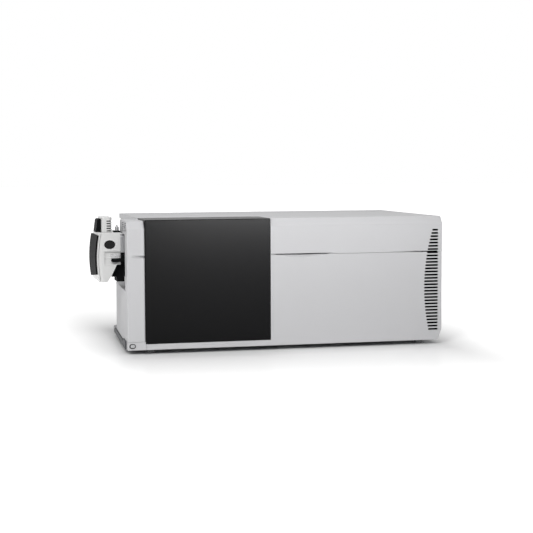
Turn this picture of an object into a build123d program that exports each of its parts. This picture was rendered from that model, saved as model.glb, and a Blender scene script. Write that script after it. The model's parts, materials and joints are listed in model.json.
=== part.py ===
from build123d import *

import os
from math import asin, cos, degrees, pi, radians, sin, tan

# A bench-top triple-quadrupole mass spectrometer: a long low cabinet on four feet, a black front
# cover that flips up over a service bay, and an ion source that swings away from the left end.
# Millimetres. +X runs along the front to the right, +Y to the back, +Z up. The origin lies on the
# floor, under the middle of the whole instrument's box.

# ------------------------------------------------------------------ driving sizes
cab_w = 1000.0  # cabinet, along its front
cab_d = 593.0  # cabinet, front to back
cab_h = 392.0  # cabinet, without its feet
foot_h = 14.0
reach_left = 81.8  # how far the ion source stands out of the left end
reach_back = 24.0  # how far the rear fittings stand out of the back
reach_front = 1.5  # how far the rocker of the power switch stands out of the front

skin = 3.0  # wall of a moulded cover
sheet = 1.5  # folded steel sheet
seam = 0.8  # open joint between two covers
fit = 0.3  # gap between pieces that only lie against each other
run = 0.05  # radial clearance of a pin in its bore

# The cabinet's outer faces
x_l = (reach_left - cab_w) / 2
x_r = x_l + cab_w
y_f = (reach_front - cab_d - reach_back) / 2
y_b = y_f + cab_d
z_b = foot_h
z_t = z_b + cab_h

# Front edge of the lid and the long seam across the right-hand covers
cham_d = 15.0
cham_h = 23.0
seam_z = z_b + 280.0
taper_w = 13.0  # the right end draws in by this much
taper_h = 36.0  # over this height at its foot

# Left column, its vented ear and its plinth
col_w = 54.0
col_d = 47.0
col_drop = 4.0
ear_d = 162.0
ear_h = 40.0
plinth_w = 56.2
plinth_h = 24.6
plinth_d = 32.0

# Sill under the black cover
sill_h = 17.2
sill_d = 20.0

# Black front cover: a plate with a flange over the top that ends in a hinge barrel
door_w = 386.8
door_t = 4.0
door_rim = 18.0
door_reach = 160.0  # front face to hinge axis
flange_rim = 12.0
barrel_r = 3.0
hinge_pin_r = 1.5
corner_l = 26.0  # the corners of the flange are cut away by this much round the fixed knuckles

door_x0 = x_l + col_w + seam
door_x1 = door_x0 + door_w
door_z0 = z_b + sill_h + seam
hinge_y = y_f + door_reach
hinge_z = z_t - barrel_r
right_x0 = door_x1 + seam

# Base tray
tray_t = 3.0
tray_up = 2.0  # the tray's underside, above the covers' lower edge
tray_lip = 10.0

# Left side: the rail and the side cover draw in toward the back
side_lean = 2.75  # degrees
rail_out = 4.5  # the rail's outer face stands out past the side cover's by this much
rail_in = 27.0  # the rail's inner face, from the cabinet's left face
rail_h = 14.0
rail_d = 460.0  # front face to the rail's rear end
rail_block_d = 105.0
cap_l = 18.0
cap_h = 23.0
cap_out = 1.0
tray_x0 = x_l + rail_in + fit
tray_x1 = x_r - taper_w - skin - fit
tray_y0 = y_f + sill_d + fit
tray_z0 = z_b + tray_up
tray_z1 = tray_z0 + tray_t

# Rear panel
rear_in = 3.5
panel_y1 = y_b - rear_in
panel_y0 = panel_y1 - sheet
tray_y1 = panel_y0 - fit

# Left wall behind the column, and the low side cover in front of it
wall_in = 56.3
wall_x0 = x_l + wall_in
wall_x1 = wall_x0 + sheet
bulkhead_h = 200.0
side_d = 425.0
side_z0 = z_b + 17.0
side_z1 = z_b + 174.0

# Service bay behind the black cover
liner_t = 2.0
bay_d = 105.0
liner_x0 = door_x0 + skin + seam
liner_x1 = door_x1 - skin - seam
liner_y0 = y_f + door_t + seam
liner_y1 = y_f + bay_d
liner_z0 = door_z0 + skin + seam
shelf_z = z_t - 20.0
shelf_y1 = hinge_y + barrel_r

# Ion source: everything is set out from its axis and from the parting face beside the cabinet
src_z = z_b + 302.0  # axis of the spray chamber, the capillary and the analyser
src_y = y_f + 195.0
src_w = 190.0  # front to back
src_y0 = y_f + 100.0
src_y1 = src_y0 + src_w
src_x1 = x_l - 6.0  # parting face of the swinging housing
src_wall = 4.0
src_top = z_b + 351.0
src_foot = z_b + 199.0
block_x0 = src_x1 + 2 * fit

# Vacuum manifold
man_w = 160.0
man_h = 120.0
man_wall = 12.0
man_lid = 8.0
optics_in = 20.0  # free length before the first rods, and behind the detector
guide_l = 100.0
filter_l = 200.0
cell_l = 150.0
detector_l = 60.0
optics_gap = 12.0
optics_l = guide_l + 2 * filter_l + cell_l + detector_l + 4 * optics_gap
man_l = optics_l + 2 * man_wall + 2 * optics_in
man_x0 = wall_x1 + fit
man_x1 = man_x0 + man_l
man_y0 = src_y - man_w / 2
man_y1 = src_y + man_w / 2
man_z0 = src_z - man_h / 2
man_z1 = src_z + man_h / 2
man_floor = man_z0 + man_wall

os.makedirs("parts", exist_ok=True)


def block(x0, x1, y0, y1, z0, z1, mode=Mode.ADD):
    """A block between two corners."""
    with Locations(((x0 + x1) / 2, (y0 + y1) / 2, (z0 + z1) / 2)):
        Box(x1 - x0, y1 - y0, z1 - z0, mode=mode)


def front(y):
    """An upright sketch plane parallel to the front: sketch x is X and sketch y is Z."""
    return Plane.XZ.offset(-y)


def side(x):
    """An upright sketch plane parallel to the ends: sketch x is Y and sketch y is Z."""
    return Plane.YZ.offset(x)


def rod_x(x0, x1, y, z, r, mode=Mode.ADD):
    """A round bar along X."""
    with Locations(Location(((x0 + x1) / 2, y, z), (0, 90, 0))):
        Cylinder(r, x1 - x0, mode=mode)


def rod_y(x, y0, y1, z, r, mode=Mode.ADD):
    """A round bar along Y."""
    with Locations(Location((x, (y0 + y1) / 2, z), (90, 0, 0))):
        Cylinder(r, y1 - y0, mode=mode)


def rod_z(x, y, z0, z1, r, mode=Mode.ADD):
    """A round bar along Z."""
    with Locations((x, y, (z0 + z1) / 2)):
        Cylinder(r, z1 - z0, mode=mode)


def lean_x(y, out=0.0):
    """Left side of the instrument at y, moved out by this much."""
    return x_l - out + (y - y_f - col_d) * tan(radians(side_lean))


def save(piece, name):
    piece.part.label = name
    export_step(piece.part, f"parts/{name}.step")


# ------------------------------------------------------------------ base: tray, feet, side rail
foot_r = 14.0
foot_neck = 2.0  # the stud shows this much above the rubber
foot_stud_r = 5.0
foot_xs = (x_l + 75.5, x_r - 65.5)
foot_ys = (y_f + 40.0, y_b - 40.0)

with BuildPart() as base_tray:
    block(tray_x0, tray_x1, tray_y0, tray_y1, tray_z0, tray_z1 + tray_lip)
    block(
        tray_x0 + tray_t,
        tray_x1 - tray_t,
        tray_y0 + tray_t,
        tray_y1 - tray_t,
        tray_z1,
        tray_z1 + tray_lip,
        mode=Mode.SUBTRACT,
    )
    # The corner that the plinth takes up
    block(
        tray_x0,
        x_l + plinth_w + fit,
        tray_y0,
        y_f + plinth_d + fit,
        tray_z0,
        tray_z1 + tray_lip,
        mode=Mode.SUBTRACT,
    )
    # Behind the rail the tray ends under the left wall
    block(
        tray_x0,
        wall_x0,
        y_f + rail_d + cap_l + fit,
        tray_y1,
        tray_z0,
        tray_z1 + tray_lip,
        mode=Mode.SUBTRACT,
    )
save(base_tray, "base_tray")

with BuildPart() as feet:
    for foot_y in foot_ys:
        for foot_x in foot_xs:
            with BuildSketch(Plane.XY) as sole:
                with Locations((foot_x, foot_y)):
                    Circle(foot_r)
            extrude(sole.sketch, amount=foot_h - foot_neck, taper=4)
            rod_z(foot_x, foot_y, foot_h - foot_neck, tray_z0, foot_stud_r)
save(feet, "feet")


def rail_plan(y0, y1, out, z):
    """Plan at height z between two depths, as wide as the rail and with its outer face out by this much."""
    with BuildSketch(Plane.XY.offset(z)) as plan:
        with BuildLine():
            Polyline(
                (lean_x(y0, out), y0),
                (x_l + rail_in, y0),
                (x_l + rail_in, y1),
                (lean_x(y1, out), y1),
                close=True,
            )
        make_face()
    return plan.sketch


with BuildPart() as side_rail:
    extrude(rail_plan(y_f + plinth_d + seam, y_f + rail_d, rail_out, z_b), amount=rail_h)
    rims = side_rail.edges().filter_by(lambda e: e.length > 2 * rail_in and e.center().Z > z_b + 1.0)
    fillet(rims.filter_by(lambda e: e.center().X < x_l + rail_in - 1.0), 2.5)
    extrude(rail_plan(y_f + plinth_d + seam, y_f + rail_block_d, rail_out, z_b), amount=plinth_h)
    # The tall front end is cut back to a rim where the side cover stands inside it
    rim_cut = rail_plan(y_f + col_d, y_f + rail_block_d + 1.0, fit, z_b + rail_h)
    extrude(rim_cut, amount=plinth_h, mode=Mode.SUBTRACT)
save(side_rail, "side_rail")

with BuildPart() as rail_end_cap:
    cap_x0 = lean_x(y_f + rail_d, rail_out) - cap_out
    block(cap_x0, x_l + rail_in, y_f + rail_d + fit, y_f + rail_d + cap_l, z_b, z_b + cap_h)
    fillet(rail_end_cap.edges().filter_by(Axis.X).group_by(Axis.Y)[-1].group_by(Axis.Z)[-1], 10.0)
    fillet(rail_end_cap.edges().filter_by(Axis.Z).group_by(Axis.X)[0].group_by(Axis.Y)[-1], 4.0)
save(rail_end_cap, "rail_end_cap")


# ------------------------------------------------------------------ right-hand covers
# Grille: level slots whose left ends lie on a large arc
slot_n = 32
slot_h = 5.8
slot_pitch = 10.15
slot_z0 = z_b + 34.0
slot_x1 = x_r - 12.5
slot_long = 47.0  # longest slot
grille_arc_r = 626.0
grille_arc_z = z_b + 168.0


def slot_left(z):
    """Left end of the grille's slot at this height."""
    rise = z - grille_arc_z
    return slot_x1 - slot_long + grille_arc_r - (grille_arc_r**2 - rise**2) ** 0.5


# Two scoops along the seam: each one is a ring of triangular section, turned about an upright axis
# in front of the cabinet, so that it bites deepest at its middle
grip_x = x_l + 543.0
grip_half = 106.0
grip_bite = 12.0
tail_x = slot_x1 - slot_h / 2
tail_half = 165.0
tail_bite = slot_h


def scoop(x_mid, half, bite, both_sides):
    """Cuts a scoop along the seam, from x_mid to half that chord on each side, or to the left."""
    radius = (half**2 + bite**2) / (2 * bite)
    axis_y = y_f + bite - radius
    swing = degrees(asin(half / radius)) + 1.0
    top = seam_z + tail_bite / 2
    depth = bite + 2.0
    with BuildSketch(Plane(origin=(x_mid, axis_y, 0), x_dir=(0, 1, 0), z_dir=(1, 0, 0))) as tooth:
        with BuildLine():
            Polyline((radius, top), (radius - depth, top), (radius - depth, top - depth), close=True)
        make_face()
    about = Axis((x_mid, axis_y, 0), (0, 0, 1))
    revolve(tooth.sketch, axis=about, revolution_arc=swing, mode=Mode.SUBTRACT)
    if both_sides:
        revolve(tooth.sketch, axis=about, revolution_arc=-swing, mode=Mode.SUBTRACT)


def grille(low, high):
    """Cuts the slots whose whole height lies between two levels."""
    for i in range(slot_n):
        z = slot_z0 + i * slot_pitch
        if z - slot_h / 2 < low or z + slot_h / 2 > high:
            continue
        x0 = slot_left(z)
        with BuildSketch(front(y_f - 1.0)) as slot:
            with Locations(((x0 + slot_x1) / 2, z)):
                SlotOverall(slot_x1 - x0, slot_h)
        extrude(slot.sketch, amount=skin + 2.0, dir=(0, 1, 0), mode=Mode.SUBTRACT)


def lid_face(x, inset):
    """End view of the lid at x, drawn in by inset."""
    with BuildSketch(side(x)) as face:
        with BuildLine():
            Polyline(
                (y_f, seam_z - 10.0),
                (y_f, z_t - cham_h),
                (y_f + cham_d, z_t),
                (y_b + inset + 1.0, z_t),
                (y_b + inset + 1.0, seam_z - 10.0),
                close=True,
            )
        make_face()
        if inset:
            offset(amount=-inset, kind=Kind.INTERSECTION, mode=Mode.REPLACE)
    return face.sketch


lid_z0 = seam_z + seam / 2
lid_left = wall_x0 - fit - skin
lid_lip = 16.0
lid_gap_y = hinge_y + barrel_r + 0.5

with BuildPart() as top_cover:
    extrude(lid_face(right_x0, 0), amount=x_r - right_x0)
    block(lid_left, right_x0 + 1.0, lid_gap_y, y_b, z_t - lid_lip, z_t)
    block(lid_left, x_r, y_b, y_b + 5.0, seam_z - 20.0, z_t, mode=Mode.SUBTRACT)
    edges = top_cover.edges().filter_by(Axis.Y).group_by(Axis.Z)[-1]
    fillet(edges.sort_by(Axis.X)[-1], 5.0)
    # Hollow of the right-hand part
    extrude(lid_face(right_x0 + skin, skin), amount=x_r - right_x0 - 2 * skin, mode=Mode.SUBTRACT)
    # Hollow of the left-hand part, open to the right-hand one
    block(
        lid_left + skin,
        right_x0 + skin + 1.0,
        lid_gap_y + skin,
        y_b + 1.0,
        z_t - lid_lip - 1.0,
        z_t - skin,
        mode=Mode.SUBTRACT,
    )
    block(
        right_x0,
        right_x0 + skin + 1.0,
        lid_gap_y + skin,
        y_b + 1.0,
        seam_z - 20.0,
        z_t - skin,
        mode=Mode.SUBTRACT,
    )
    # The return beside the service bay is only as deep as the bay
    block(
        right_x0,
        right_x0 + skin + 1.0,
        liner_y1 - skin,
        y_b + 1.0,
        seam_z - 20.0,
        z_t - lid_lip,
        mode=Mode.SUBTRACT,
    )
    block(lid_left, x_r, y_f, y_b, seam_z - 20.0, lid_z0, mode=Mode.SUBTRACT)
    scoop(grip_x, grip_half, grip_bite, True)
    scoop(tail_x, tail_half, tail_bite, False)
    grille(lid_z0, z_t)
save(top_cover, "top_cover")

low_z1 = seam_z - seam / 2
back_rest = 16.0  # depth of the moulding behind each scoop

with BuildPart() as lower_cover:
    with BuildSketch(front(y_f)):
        with BuildLine():
            Polyline(
                (right_x0, z_b),
                (x_r - taper_w, z_b),
                (x_r, z_b + taper_h),
                (x_r, low_z1),
                (right_x0, low_z1),
                close=True,
            )
        make_face()
    extrude(amount=cab_d, dir=(0, 1, 0))
    fillet(lower_cover.edges().filter_by(Axis.Z).group_by(Axis.Y)[0].sort_by(Axis.X)[-1], 2.0)
    with BuildSketch(front(y_f + skin)):
        with BuildLine():
            Polyline(
                (right_x0 + skin, z_b - 1.0),
                (x_r - taper_w - skin, z_b - 1.0),
                (x_r - taper_w - skin, z_b),
                (x_r - skin, z_b + taper_h),
                (x_r - skin, low_z1 + 1.0),
                (right_x0 + skin, low_z1 + 1.0),
                close=True,
            )
        make_face()
    extrude(amount=cab_d, dir=(0, 1, 0), mode=Mode.SUBTRACT)
    # The left wall only turns in by the depth of the sill
    block(right_x0, right_x0 + skin, y_f + sill_d, y_b, z_b, low_z1, mode=Mode.SUBTRACT)
    # Sill under the black cover, with its top turned back
    block(x_l + plinth_w + seam, right_x0 + skin, y_f, y_f + skin, z_b, z_b + sill_h)
    block(x_l + plinth_w + seam, right_x0 + skin, y_f, y_f + sill_d, z_b + sill_h - skin, z_b + sill_h)
    block(right_x0, x_r - taper_w - skin / 2, y_f, y_f + sill_d, z_b, z_b + skin)
    # Moulding that closes the scoops from behind, as far as the grille
    block(
        right_x0 + skin,
        slot_x1 - slot_long - skin,
        y_f + skin,
        y_f + back_rest,
        low_z1 - grip_bite - skin,
        low_z1,
    )
    scoop(grip_x, grip_half, grip_bite, True)
    scoop(tail_x, tail_half, tail_bite, False)
    grille(z_b, lid_z0 + slot_h)
save(lower_cover, "lower_cover")


# ------------------------------------------------------------------ left column and plinth
col_x1 = x_l + col_w
col_z0 = z_b + plinth_h + seam
col_z1 = z_t - col_drop
ear_z = z_t - ear_h - col_drop
pull_x = x_l + 13.2  # left end of the finger scoop
pull_z = z_b + 281.0
pull_h = 8.4
pull_tilt = 15.0
vent_rows = 5
vent_pitch = 5.65
vent_slot_h = 2.6
vent_slot_l = 44.0
vent_z0 = z_b + 358.5
vent_ys = (y_f + 42.0, y_f + 96.0)


def column_face(x, inset):
    """End view of the column at x, drawn in by inset."""
    with BuildSketch(side(x)) as face:
        with BuildLine():
            Polyline(
                (y_f, col_z0),
                (y_f, col_z1 - cham_h),
                (y_f + cham_d, col_z1),
                (y_f + ear_d, col_z1),
                (y_f + ear_d, ear_z),
                (y_f + col_d, ear_z),
                (y_f + col_d, col_z0),
                close=True,
            )
        make_face()
        if inset:
            offset(amount=-inset, kind=Kind.INTERSECTION, mode=Mode.REPLACE)
    return face.sketch


with BuildPart() as left_column:
    extrude(column_face(x_l, 0), amount=col_w)
    nose = left_column.edges().filter_by(lambda e: e.center().Y < y_f + cham_d)
    outer = nose.filter_by(Plane.YZ).filter_by(lambda e: e.length > seam)
    fillet(outer.group_by(Axis.X)[0].filter_by(lambda e: e.center().Z > col_z0), 2.5)
    nose = left_column.edges().filter_by(lambda e: e.center().Y < y_f + cham_d)
    inner = nose.filter_by(Plane.YZ).filter_by(lambda e: abs(e.center().X - col_x1) < 0.01)
    fillet(inner.filter_by(lambda e: e.center().Z > col_z0), 6.0)
    extrude(column_face(x_l + skin, skin), amount=col_w - 2 * skin, mode=Mode.SUBTRACT)
    block(
        x_l + skin,
        col_x1 - skin,
        y_f + skin,
        y_f + col_d - skin,
        col_z0 - 1.0,
        col_z0 + skin + 1.0,
        mode=Mode.SUBTRACT,
    )
    # Finger scoop, cut into a pad behind the front wall; its floor slopes in towards the cover
    block(
        x_l + skin,
        col_x1,
        y_f + skin,
        y_f + skin + (col_x1 - pull_x) * sin(radians(pull_tilt)) + skin,
        pull_z - pull_h / 2 - skin,
        pull_z + pull_h / 2 + skin,
    )
    tilt = radians(pull_tilt)
    floor = Plane(
        origin=(pull_x, y_f, pull_z),
        x_dir=(cos(tilt), sin(tilt), 0),
        z_dir=(sin(tilt), -cos(tilt), 0),
    )
    with BuildSketch(floor) as scoop_mouth:
        with Locations((col_w / 2, 0)):
            SlotOverall(col_w, pull_h)
    extrude(scoop_mouth.sketch, amount=col_w / 2, mode=Mode.SUBTRACT)
    for row in range(vent_rows):
        for vent_y in vent_ys:
            vent_z = vent_z0 + row * vent_pitch
            block(
                x_l - 1.0,
                x_l + skin + 1.0,
                vent_y - vent_slot_l / 2,
                vent_y + vent_slot_l / 2,
                vent_z - vent_slot_h / 2,
                vent_z + vent_slot_h / 2,
                mode=Mode.SUBTRACT,
            )
save(left_column, "left_column")

# Power switch: an oval bezel with a rocker that tips about an upright axis
bezel_l = 19.0
bezel_h = 14.2
bezel_out = 0.6
switch_x = x_l + 14.0
switch_z = z_b + 12.3
switch_d = 12.0
well_l = 15.8
well_h = 10.4
rocker_l = 13.6
rocker_gap = 0.4
rocker_axis_y = y_f + 5.0
rocker_pin_r = 1.2
rocker_tip = 8.0  # degrees each way
rocker_groove = 1.2

with BuildPart() as column_plinth:
    with BuildSketch(front(y_f)):
        with BuildLine():
            Polyline(
                (x_l, z_b),
                (x_l + plinth_w, z_b),
                (x_l + plinth_w, door_z0 - seam),
                (col_x1, door_z0 - seam),
                (col_x1, z_b + plinth_h),
                (x_l, z_b + plinth_h),
                close=True,
            )
        make_face()
    extrude(amount=plinth_d, dir=(0, 1, 0))
    fillet(column_plinth.edges().filter_by(Axis.Z).sort_by(Axis.X)[0:2].sort_by(Axis.Y)[0], 2.5)
    block(
        x_l + skin,
        col_x1 - skin,
        y_f + skin,
        y_f + plinth_d + 1.0,
        z_b + skin,
        z_b + plinth_h - skin,
        mode=Mode.SUBTRACT,
    )
    with BuildSketch(front(y_f - 1.0)) as switch_hole:
        with Locations((switch_x, switch_z)):
            SlotOverall(bezel_l + 2 * run, bezel_h + 2 * run)
    extrude(switch_hole.sketch, amount=skin + 2.0, dir=(0, 1, 0), mode=Mode.SUBTRACT)
save(column_plinth, "column_plinth")

with BuildPart() as power_switch:
    with BuildSketch(front(y_f - bezel_out)) as bezel:
        with Locations((switch_x, switch_z)):
            SlotOverall(bezel_l, bezel_h)
    extrude(bezel.sketch, amount=bezel_out + switch_d, dir=(0, 1, 0))
    with BuildSketch(front(y_f - bezel_out)) as well:
        with Locations((switch_x, switch_z)):
            SlotOverall(well_l, well_h)
    extrude(well.sketch, amount=bezel_out + switch_d - sheet, dir=(0, 1, 0), mode=Mode.SUBTRACT)
    rod_z(
        switch_x,
        rocker_axis_y,
        switch_z - bezel_h / 2 + bezel_out,
        switch_z + bezel_h / 2 - bezel_out,
        rocker_pin_r + run,
        mode=Mode.SUBTRACT,
    )
save(power_switch, "power_switch")

tip = radians(rocker_tip)
rocker_face = Plane(
    origin=(switch_x, rocker_axis_y, switch_z),
    x_dir=(cos(tip), sin(tip), 0),
    z_dir=(sin(tip), -cos(tip), 0),
)
rocker_up = rocker_axis_y - y_f + bezel_out
with BuildPart() as power_rocker:
    with BuildSketch(rocker_face) as rocker_shape:
        SlotOverall(rocker_l, well_h - 2 * rocker_gap)
    extrude(rocker_shape.sketch, amount=rocker_up)
    extrude(rocker_shape.sketch, amount=-rocker_pin_r - 1.0)
    # The face is dished along its middle, one shallow slope each way
    dish = Plane(origin=rocker_face.origin, x_dir=rocker_face.x_dir, z_dir=(0, 0, 1))
    with BuildSketch(dish.offset(-well_h)) as dish_cut:
        with BuildLine():
            Polyline(
                (-rocker_l, -rocker_up - 1.5),
                (0, -rocker_up + 0.9),
                (rocker_l, -rocker_up - 1.5),
                close=True,
            )
        make_face()
    extrude(dish_cut.sketch, amount=2 * well_h, mode=Mode.SUBTRACT)
    with BuildSketch(dish.offset(-well_h)) as groove_cut:
        with Locations((0, -rocker_up)):
            Rectangle(rocker_groove, 2 * rocker_groove)
    extrude(groove_cut.sketch, amount=2 * well_h, mode=Mode.SUBTRACT)
    pin_half = bezel_h / 2 - bezel_out - rocker_gap
    rod_z(switch_x, rocker_axis_y, switch_z - pin_half, switch_z + pin_half, rocker_pin_r)
save(power_rocker, "power_rocker")


# ------------------------------------------------------------------ left wall and low side cover
tube_r = 34.0  # hole for the capillary's heat shield
side_t = 2.5
notch = 14.0

with BuildPart() as left_wall:
    block(wall_x0, wall_x1, y_f + col_d + 2.0, tray_y1 - tray_t - fit, tray_z1, z_t - skin - fit)
    # Lower beside the flange of the front cover
    block(
        wall_x0,
        wall_x1,
        y_f + col_d,
        lid_gap_y + skin + fit,
        z_t - lid_lip - seam,
        z_t,
        mode=Mode.SUBTRACT,
    )
    # Front edge turned out towards the column's side, as high as the side cover needs
    block(
        x_l + 2 * skin,
        wall_x1,
        y_f + col_d + 2.0,
        y_f + col_d + 2.0 + sheet,
        side_z0,
        z_b + bulkhead_h,
    )
    rod_x(wall_x0 - 1.0, wall_x1 + 1.0, src_y, src_z, tube_r, mode=Mode.SUBTRACT)
save(left_wall, "left_wall")

side_y0 = y_f + col_d + 2.0 + sheet + fit
side_turn = 14.0


def side_plan(z, inset):
    """Plan of the side cover at height z, its rear corner turned in, drawn in by inset."""
    with BuildSketch(Plane.XY.offset(z)) as plan:
        with BuildLine():
            Polyline(
                (wall_x0 - fit, side_y0),
                (lean_x(side_y0), side_y0),
                (lean_x(y_f + side_d), y_f + side_d),
                (wall_x0 - fit, y_f + side_d),
                close=True,
            )
        make_face()
        fillet(plan.vertices().group_by(Axis.Y)[-1].sort_by(Axis.X)[0], side_turn)
        if inset:
            offset(amount=-inset, kind=Kind.INTERSECTION, mode=Mode.REPLACE)
    return plan.sketch


with BuildPart() as side_cover:
    extrude(side_plan(side_z0, 0), amount=side_z1 - side_z0)
    top_edge = side_cover.faces().sort_by(Axis.Z)[-1].edges()
    fillet(top_edge.filter_by(lambda e: e.center().X < wall_x0 - side_turn), 2.0)
    extrude(
        side_plan(side_z0 + side_t, side_t),
        amount=side_z1 - side_z0 - 2 * side_t,
        mode=Mode.SUBTRACT,
    )
    block(
        wall_x0 - fit - side_t - 1.0,
        wall_x0,
        side_y0 + side_t,
        y_f + side_d - side_t,
        side_z0 + side_t,
        side_z1 - side_t,
        mode=Mode.SUBTRACT,
    )
    # Front top corner cut off, clear of the exhaust duct
    with BuildSketch(side(x_l - side_t)) as corner:
        with BuildLine():
            Polyline(
                (side_y0 - 1.0, side_z1 + 1.0),
                (side_y0 - 1.0, side_z1 - notch),
                (side_y0 + notch, side_z1 + 1.0),
                close=True,
            )
        make_face()
    extrude(corner.sketch, amount=3 * side_t, mode=Mode.SUBTRACT)
save(side_cover, "side_cover")


# ------------------------------------------------------------------ black front cover and its hinge
flange_z = z_t - door_t
barrel_x0 = door_x0 + corner_l
barrel_x1 = door_x1 - corner_l
pin_in = 16.0

with BuildPart() as front_cover:
    block(door_x0, door_x1, y_f, y_f + door_rim, door_z0, z_t)
    block(door_x0, door_x1, y_f, hinge_y, z_t - flange_rim, z_t)
    face_edges = front_cover.edges().filter_by(lambda e: e.center().Y < y_f + 1.0)
    fillet(face_edges.filter_by(Axis.X).sort_by(Axis.Z)[-1], 3.0)
    face_edges = front_cover.edges().filter_by(lambda e: e.center().Y < y_f + 1.0)
    fillet(face_edges.filter_by(Axis.Z), 2.0)
    block(
        door_x0 + skin,
        door_x1 - skin,
        y_f + door_t,
        y_f + door_rim + 1.0,
        door_z0 + skin,
        flange_z,
        mode=Mode.SUBTRACT,
    )
    block(
        door_x0 + skin,
        door_x1 - skin,
        y_f + door_t,
        hinge_y + 1.0,
        z_t - flange_rim - 1.0,
        flange_z,
        mode=Mode.SUBTRACT,
    )
    # Corners cut away round the fixed knuckles
    for x in (door_x0, barrel_x1):
        block(
            x,
            x + corner_l,
            hinge_y - 2.5 * barrel_r,
            hinge_y + 1.0,
            z_t - flange_rim,
            z_t,
            mode=Mode.SUBTRACT,
        )
    rod_x(barrel_x0, barrel_x1, hinge_y, hinge_z, barrel_r)
    bore_r = hinge_pin_r + run
    rod_x(barrel_x0 - 1.0, barrel_x0 + pin_in + fit, hinge_y, hinge_z, bore_r, mode=Mode.SUBTRACT)
    rod_x(barrel_x1 - pin_in - fit, barrel_x1 + 1.0, hinge_y, hinge_z, bore_r, mode=Mode.SUBTRACT)
save(front_cover, "front_cover")

bracket_t = 2.0
bracket_foot = 14.0
bracket_xs = (
    (liner_x0 + liner_t + fit, barrel_x0 - 2 * fit),
    (barrel_x1 + 2 * fit, liner_x1 - liner_t - fit),
)
with BuildPart() as cover_hinge_brackets:
    for x0, x1 in bracket_xs:
        rod_x(x0, x1, hinge_y, hinge_z, barrel_r)
        block(x0, x1, hinge_y - bracket_t / 2, hinge_y + bracket_t / 2, shelf_z, hinge_z)
        block(x0, x1, hinge_y - bracket_foot, hinge_y + bracket_t / 2, shelf_z, shelf_z + bracket_t)
        rod_x(x0 - 1.0, x1 + 1.0, hinge_y, hinge_z, hinge_pin_r + run, mode=Mode.SUBTRACT)
save(cover_hinge_brackets, "cover_hinge_brackets")

with BuildPart() as cover_hinge_pins:
    rod_x(bracket_xs[0][0], barrel_x0 + pin_in, hinge_y, hinge_z, hinge_pin_r)
    rod_x(barrel_x1 - pin_in, bracket_xs[1][1], hinge_y, hinge_z, hinge_pin_r)
save(cover_hinge_pins, "cover_hinge_pins")


# ------------------------------------------------------------------ service bay
foot_back = 5.0

with BuildPart() as bay_liner:
    with BuildSketch(side(liner_x0)):
        with BuildLine():
            Polyline(
                (liner_y0, liner_z0),
                (liner_y0, flange_z - seam),
                (shelf_y1, flange_z - seam),
                (shelf_y1, shelf_z - liner_t),
                (liner_y1 + liner_t, shelf_z - liner_t),
                (liner_y1 + liner_t, tray_z1),
                (tray_y0 + tray_t + foot_back, tray_z1),
                (tray_y0 + tray_t + foot_back, liner_z0),
                close=True,
            )
        make_face()
    extrude(amount=liner_x1 - liner_x0)
    # Hollow above the floor and the shelf, then the space under the floor
    block(
        liner_x0 + liner_t,
        liner_x1 - liner_t,
        liner_y0 - 1.0,
        liner_y1,
        liner_z0 + liner_t,
        z_t,
        mode=Mode.SUBTRACT,
    )
    block(liner_x0 + liner_t, liner_x1 - liner_t, liner_y0, z_t, shelf_z, z_t, mode=Mode.SUBTRACT)
    block(
        liner_x0 + liner_t,
        liner_x1 - liner_t,
        liner_y0,
        liner_y1,
        tray_z1 - 1.0,
        liner_z0,
        mode=Mode.SUBTRACT,
    )
save(bay_liner, "bay_liner")

bottle_r = 21.0
bottle_h = 82.0
bottle_xs = (liner_x0 + 55.0, liner_x0 + 110.0)
bottle_y = y_f + 55.0
holder_h = 22.0
holder_floor = 3.0
holder_z0 = liner_z0 + liner_t
cap_r = 11.0
bottle_z0 = holder_z0 + holder_floor

with BuildPart() as bottle_holder:
    block(
        bottle_xs[0] - bottle_r - 8.0,
        bottle_xs[1] + bottle_r + 8.0,
        bottle_y - bottle_r - 6.0,
        bottle_y + bottle_r + 6.0,
        holder_z0,
        holder_z0 + holder_h,
    )
    fillet(bottle_holder.edges().filter_by(Axis.Z), 6.0)
    for x in bottle_xs:
        rod_z(x, bottle_y, bottle_z0, holder_z0 + holder_h + 1.0, bottle_r + fit, mode=Mode.SUBTRACT)
save(bottle_holder, "bottle_holder")

bottle_cap_h = 14.0
cap_crown = 4.0
neck_r = cap_r - 2.0
neck_h = 12.0
shoulder_h = 12.0
with BuildPart() as calibrant_bottles:
    for x in bottle_xs:
        with BuildSketch(front(bottle_y)) as bottle:
            with BuildLine():
                Polyline(
                    (x, bottle_z0),
                    (x + bottle_r, bottle_z0),
                    (x + bottle_r, bottle_z0 + bottle_h - neck_h - shoulder_h),
                    (x + neck_r, bottle_z0 + bottle_h - neck_h),
                    (x + neck_r, bottle_z0 + bottle_h),
                    (x, bottle_z0 + bottle_h),
                    close=True,
                )
            make_face()
        revolve(bottle.sketch, axis=Axis((x, bottle_y, 0), (0, 0, 1)))
save(calibrant_bottles, "calibrant_bottles")

cap_z1 = bottle_z0 + bottle_h
with BuildPart() as bottle_caps:
    for x in bottle_xs:
        rod_z(x, bottle_y, cap_z1 - bottle_cap_h + cap_crown, cap_z1 + cap_crown, cap_r)
        rod_z(x, bottle_y, cap_z1 - bottle_cap_h, cap_z1, neck_r, mode=Mode.SUBTRACT)
save(bottle_caps, "bottle_caps")

valve_x = liner_x0 + 290.0
valve_z = z_b + 190.0
valve_r = 32.0
valve_l = 44.0
valve_foot = 10.0
valve_foot_t = 4.0
valve_hub_r = 7.0
valve_hub_l = 10.0
port_r = 4.0
port_l = 12.0
port_ring = 20.0
port_count = 6

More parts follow.
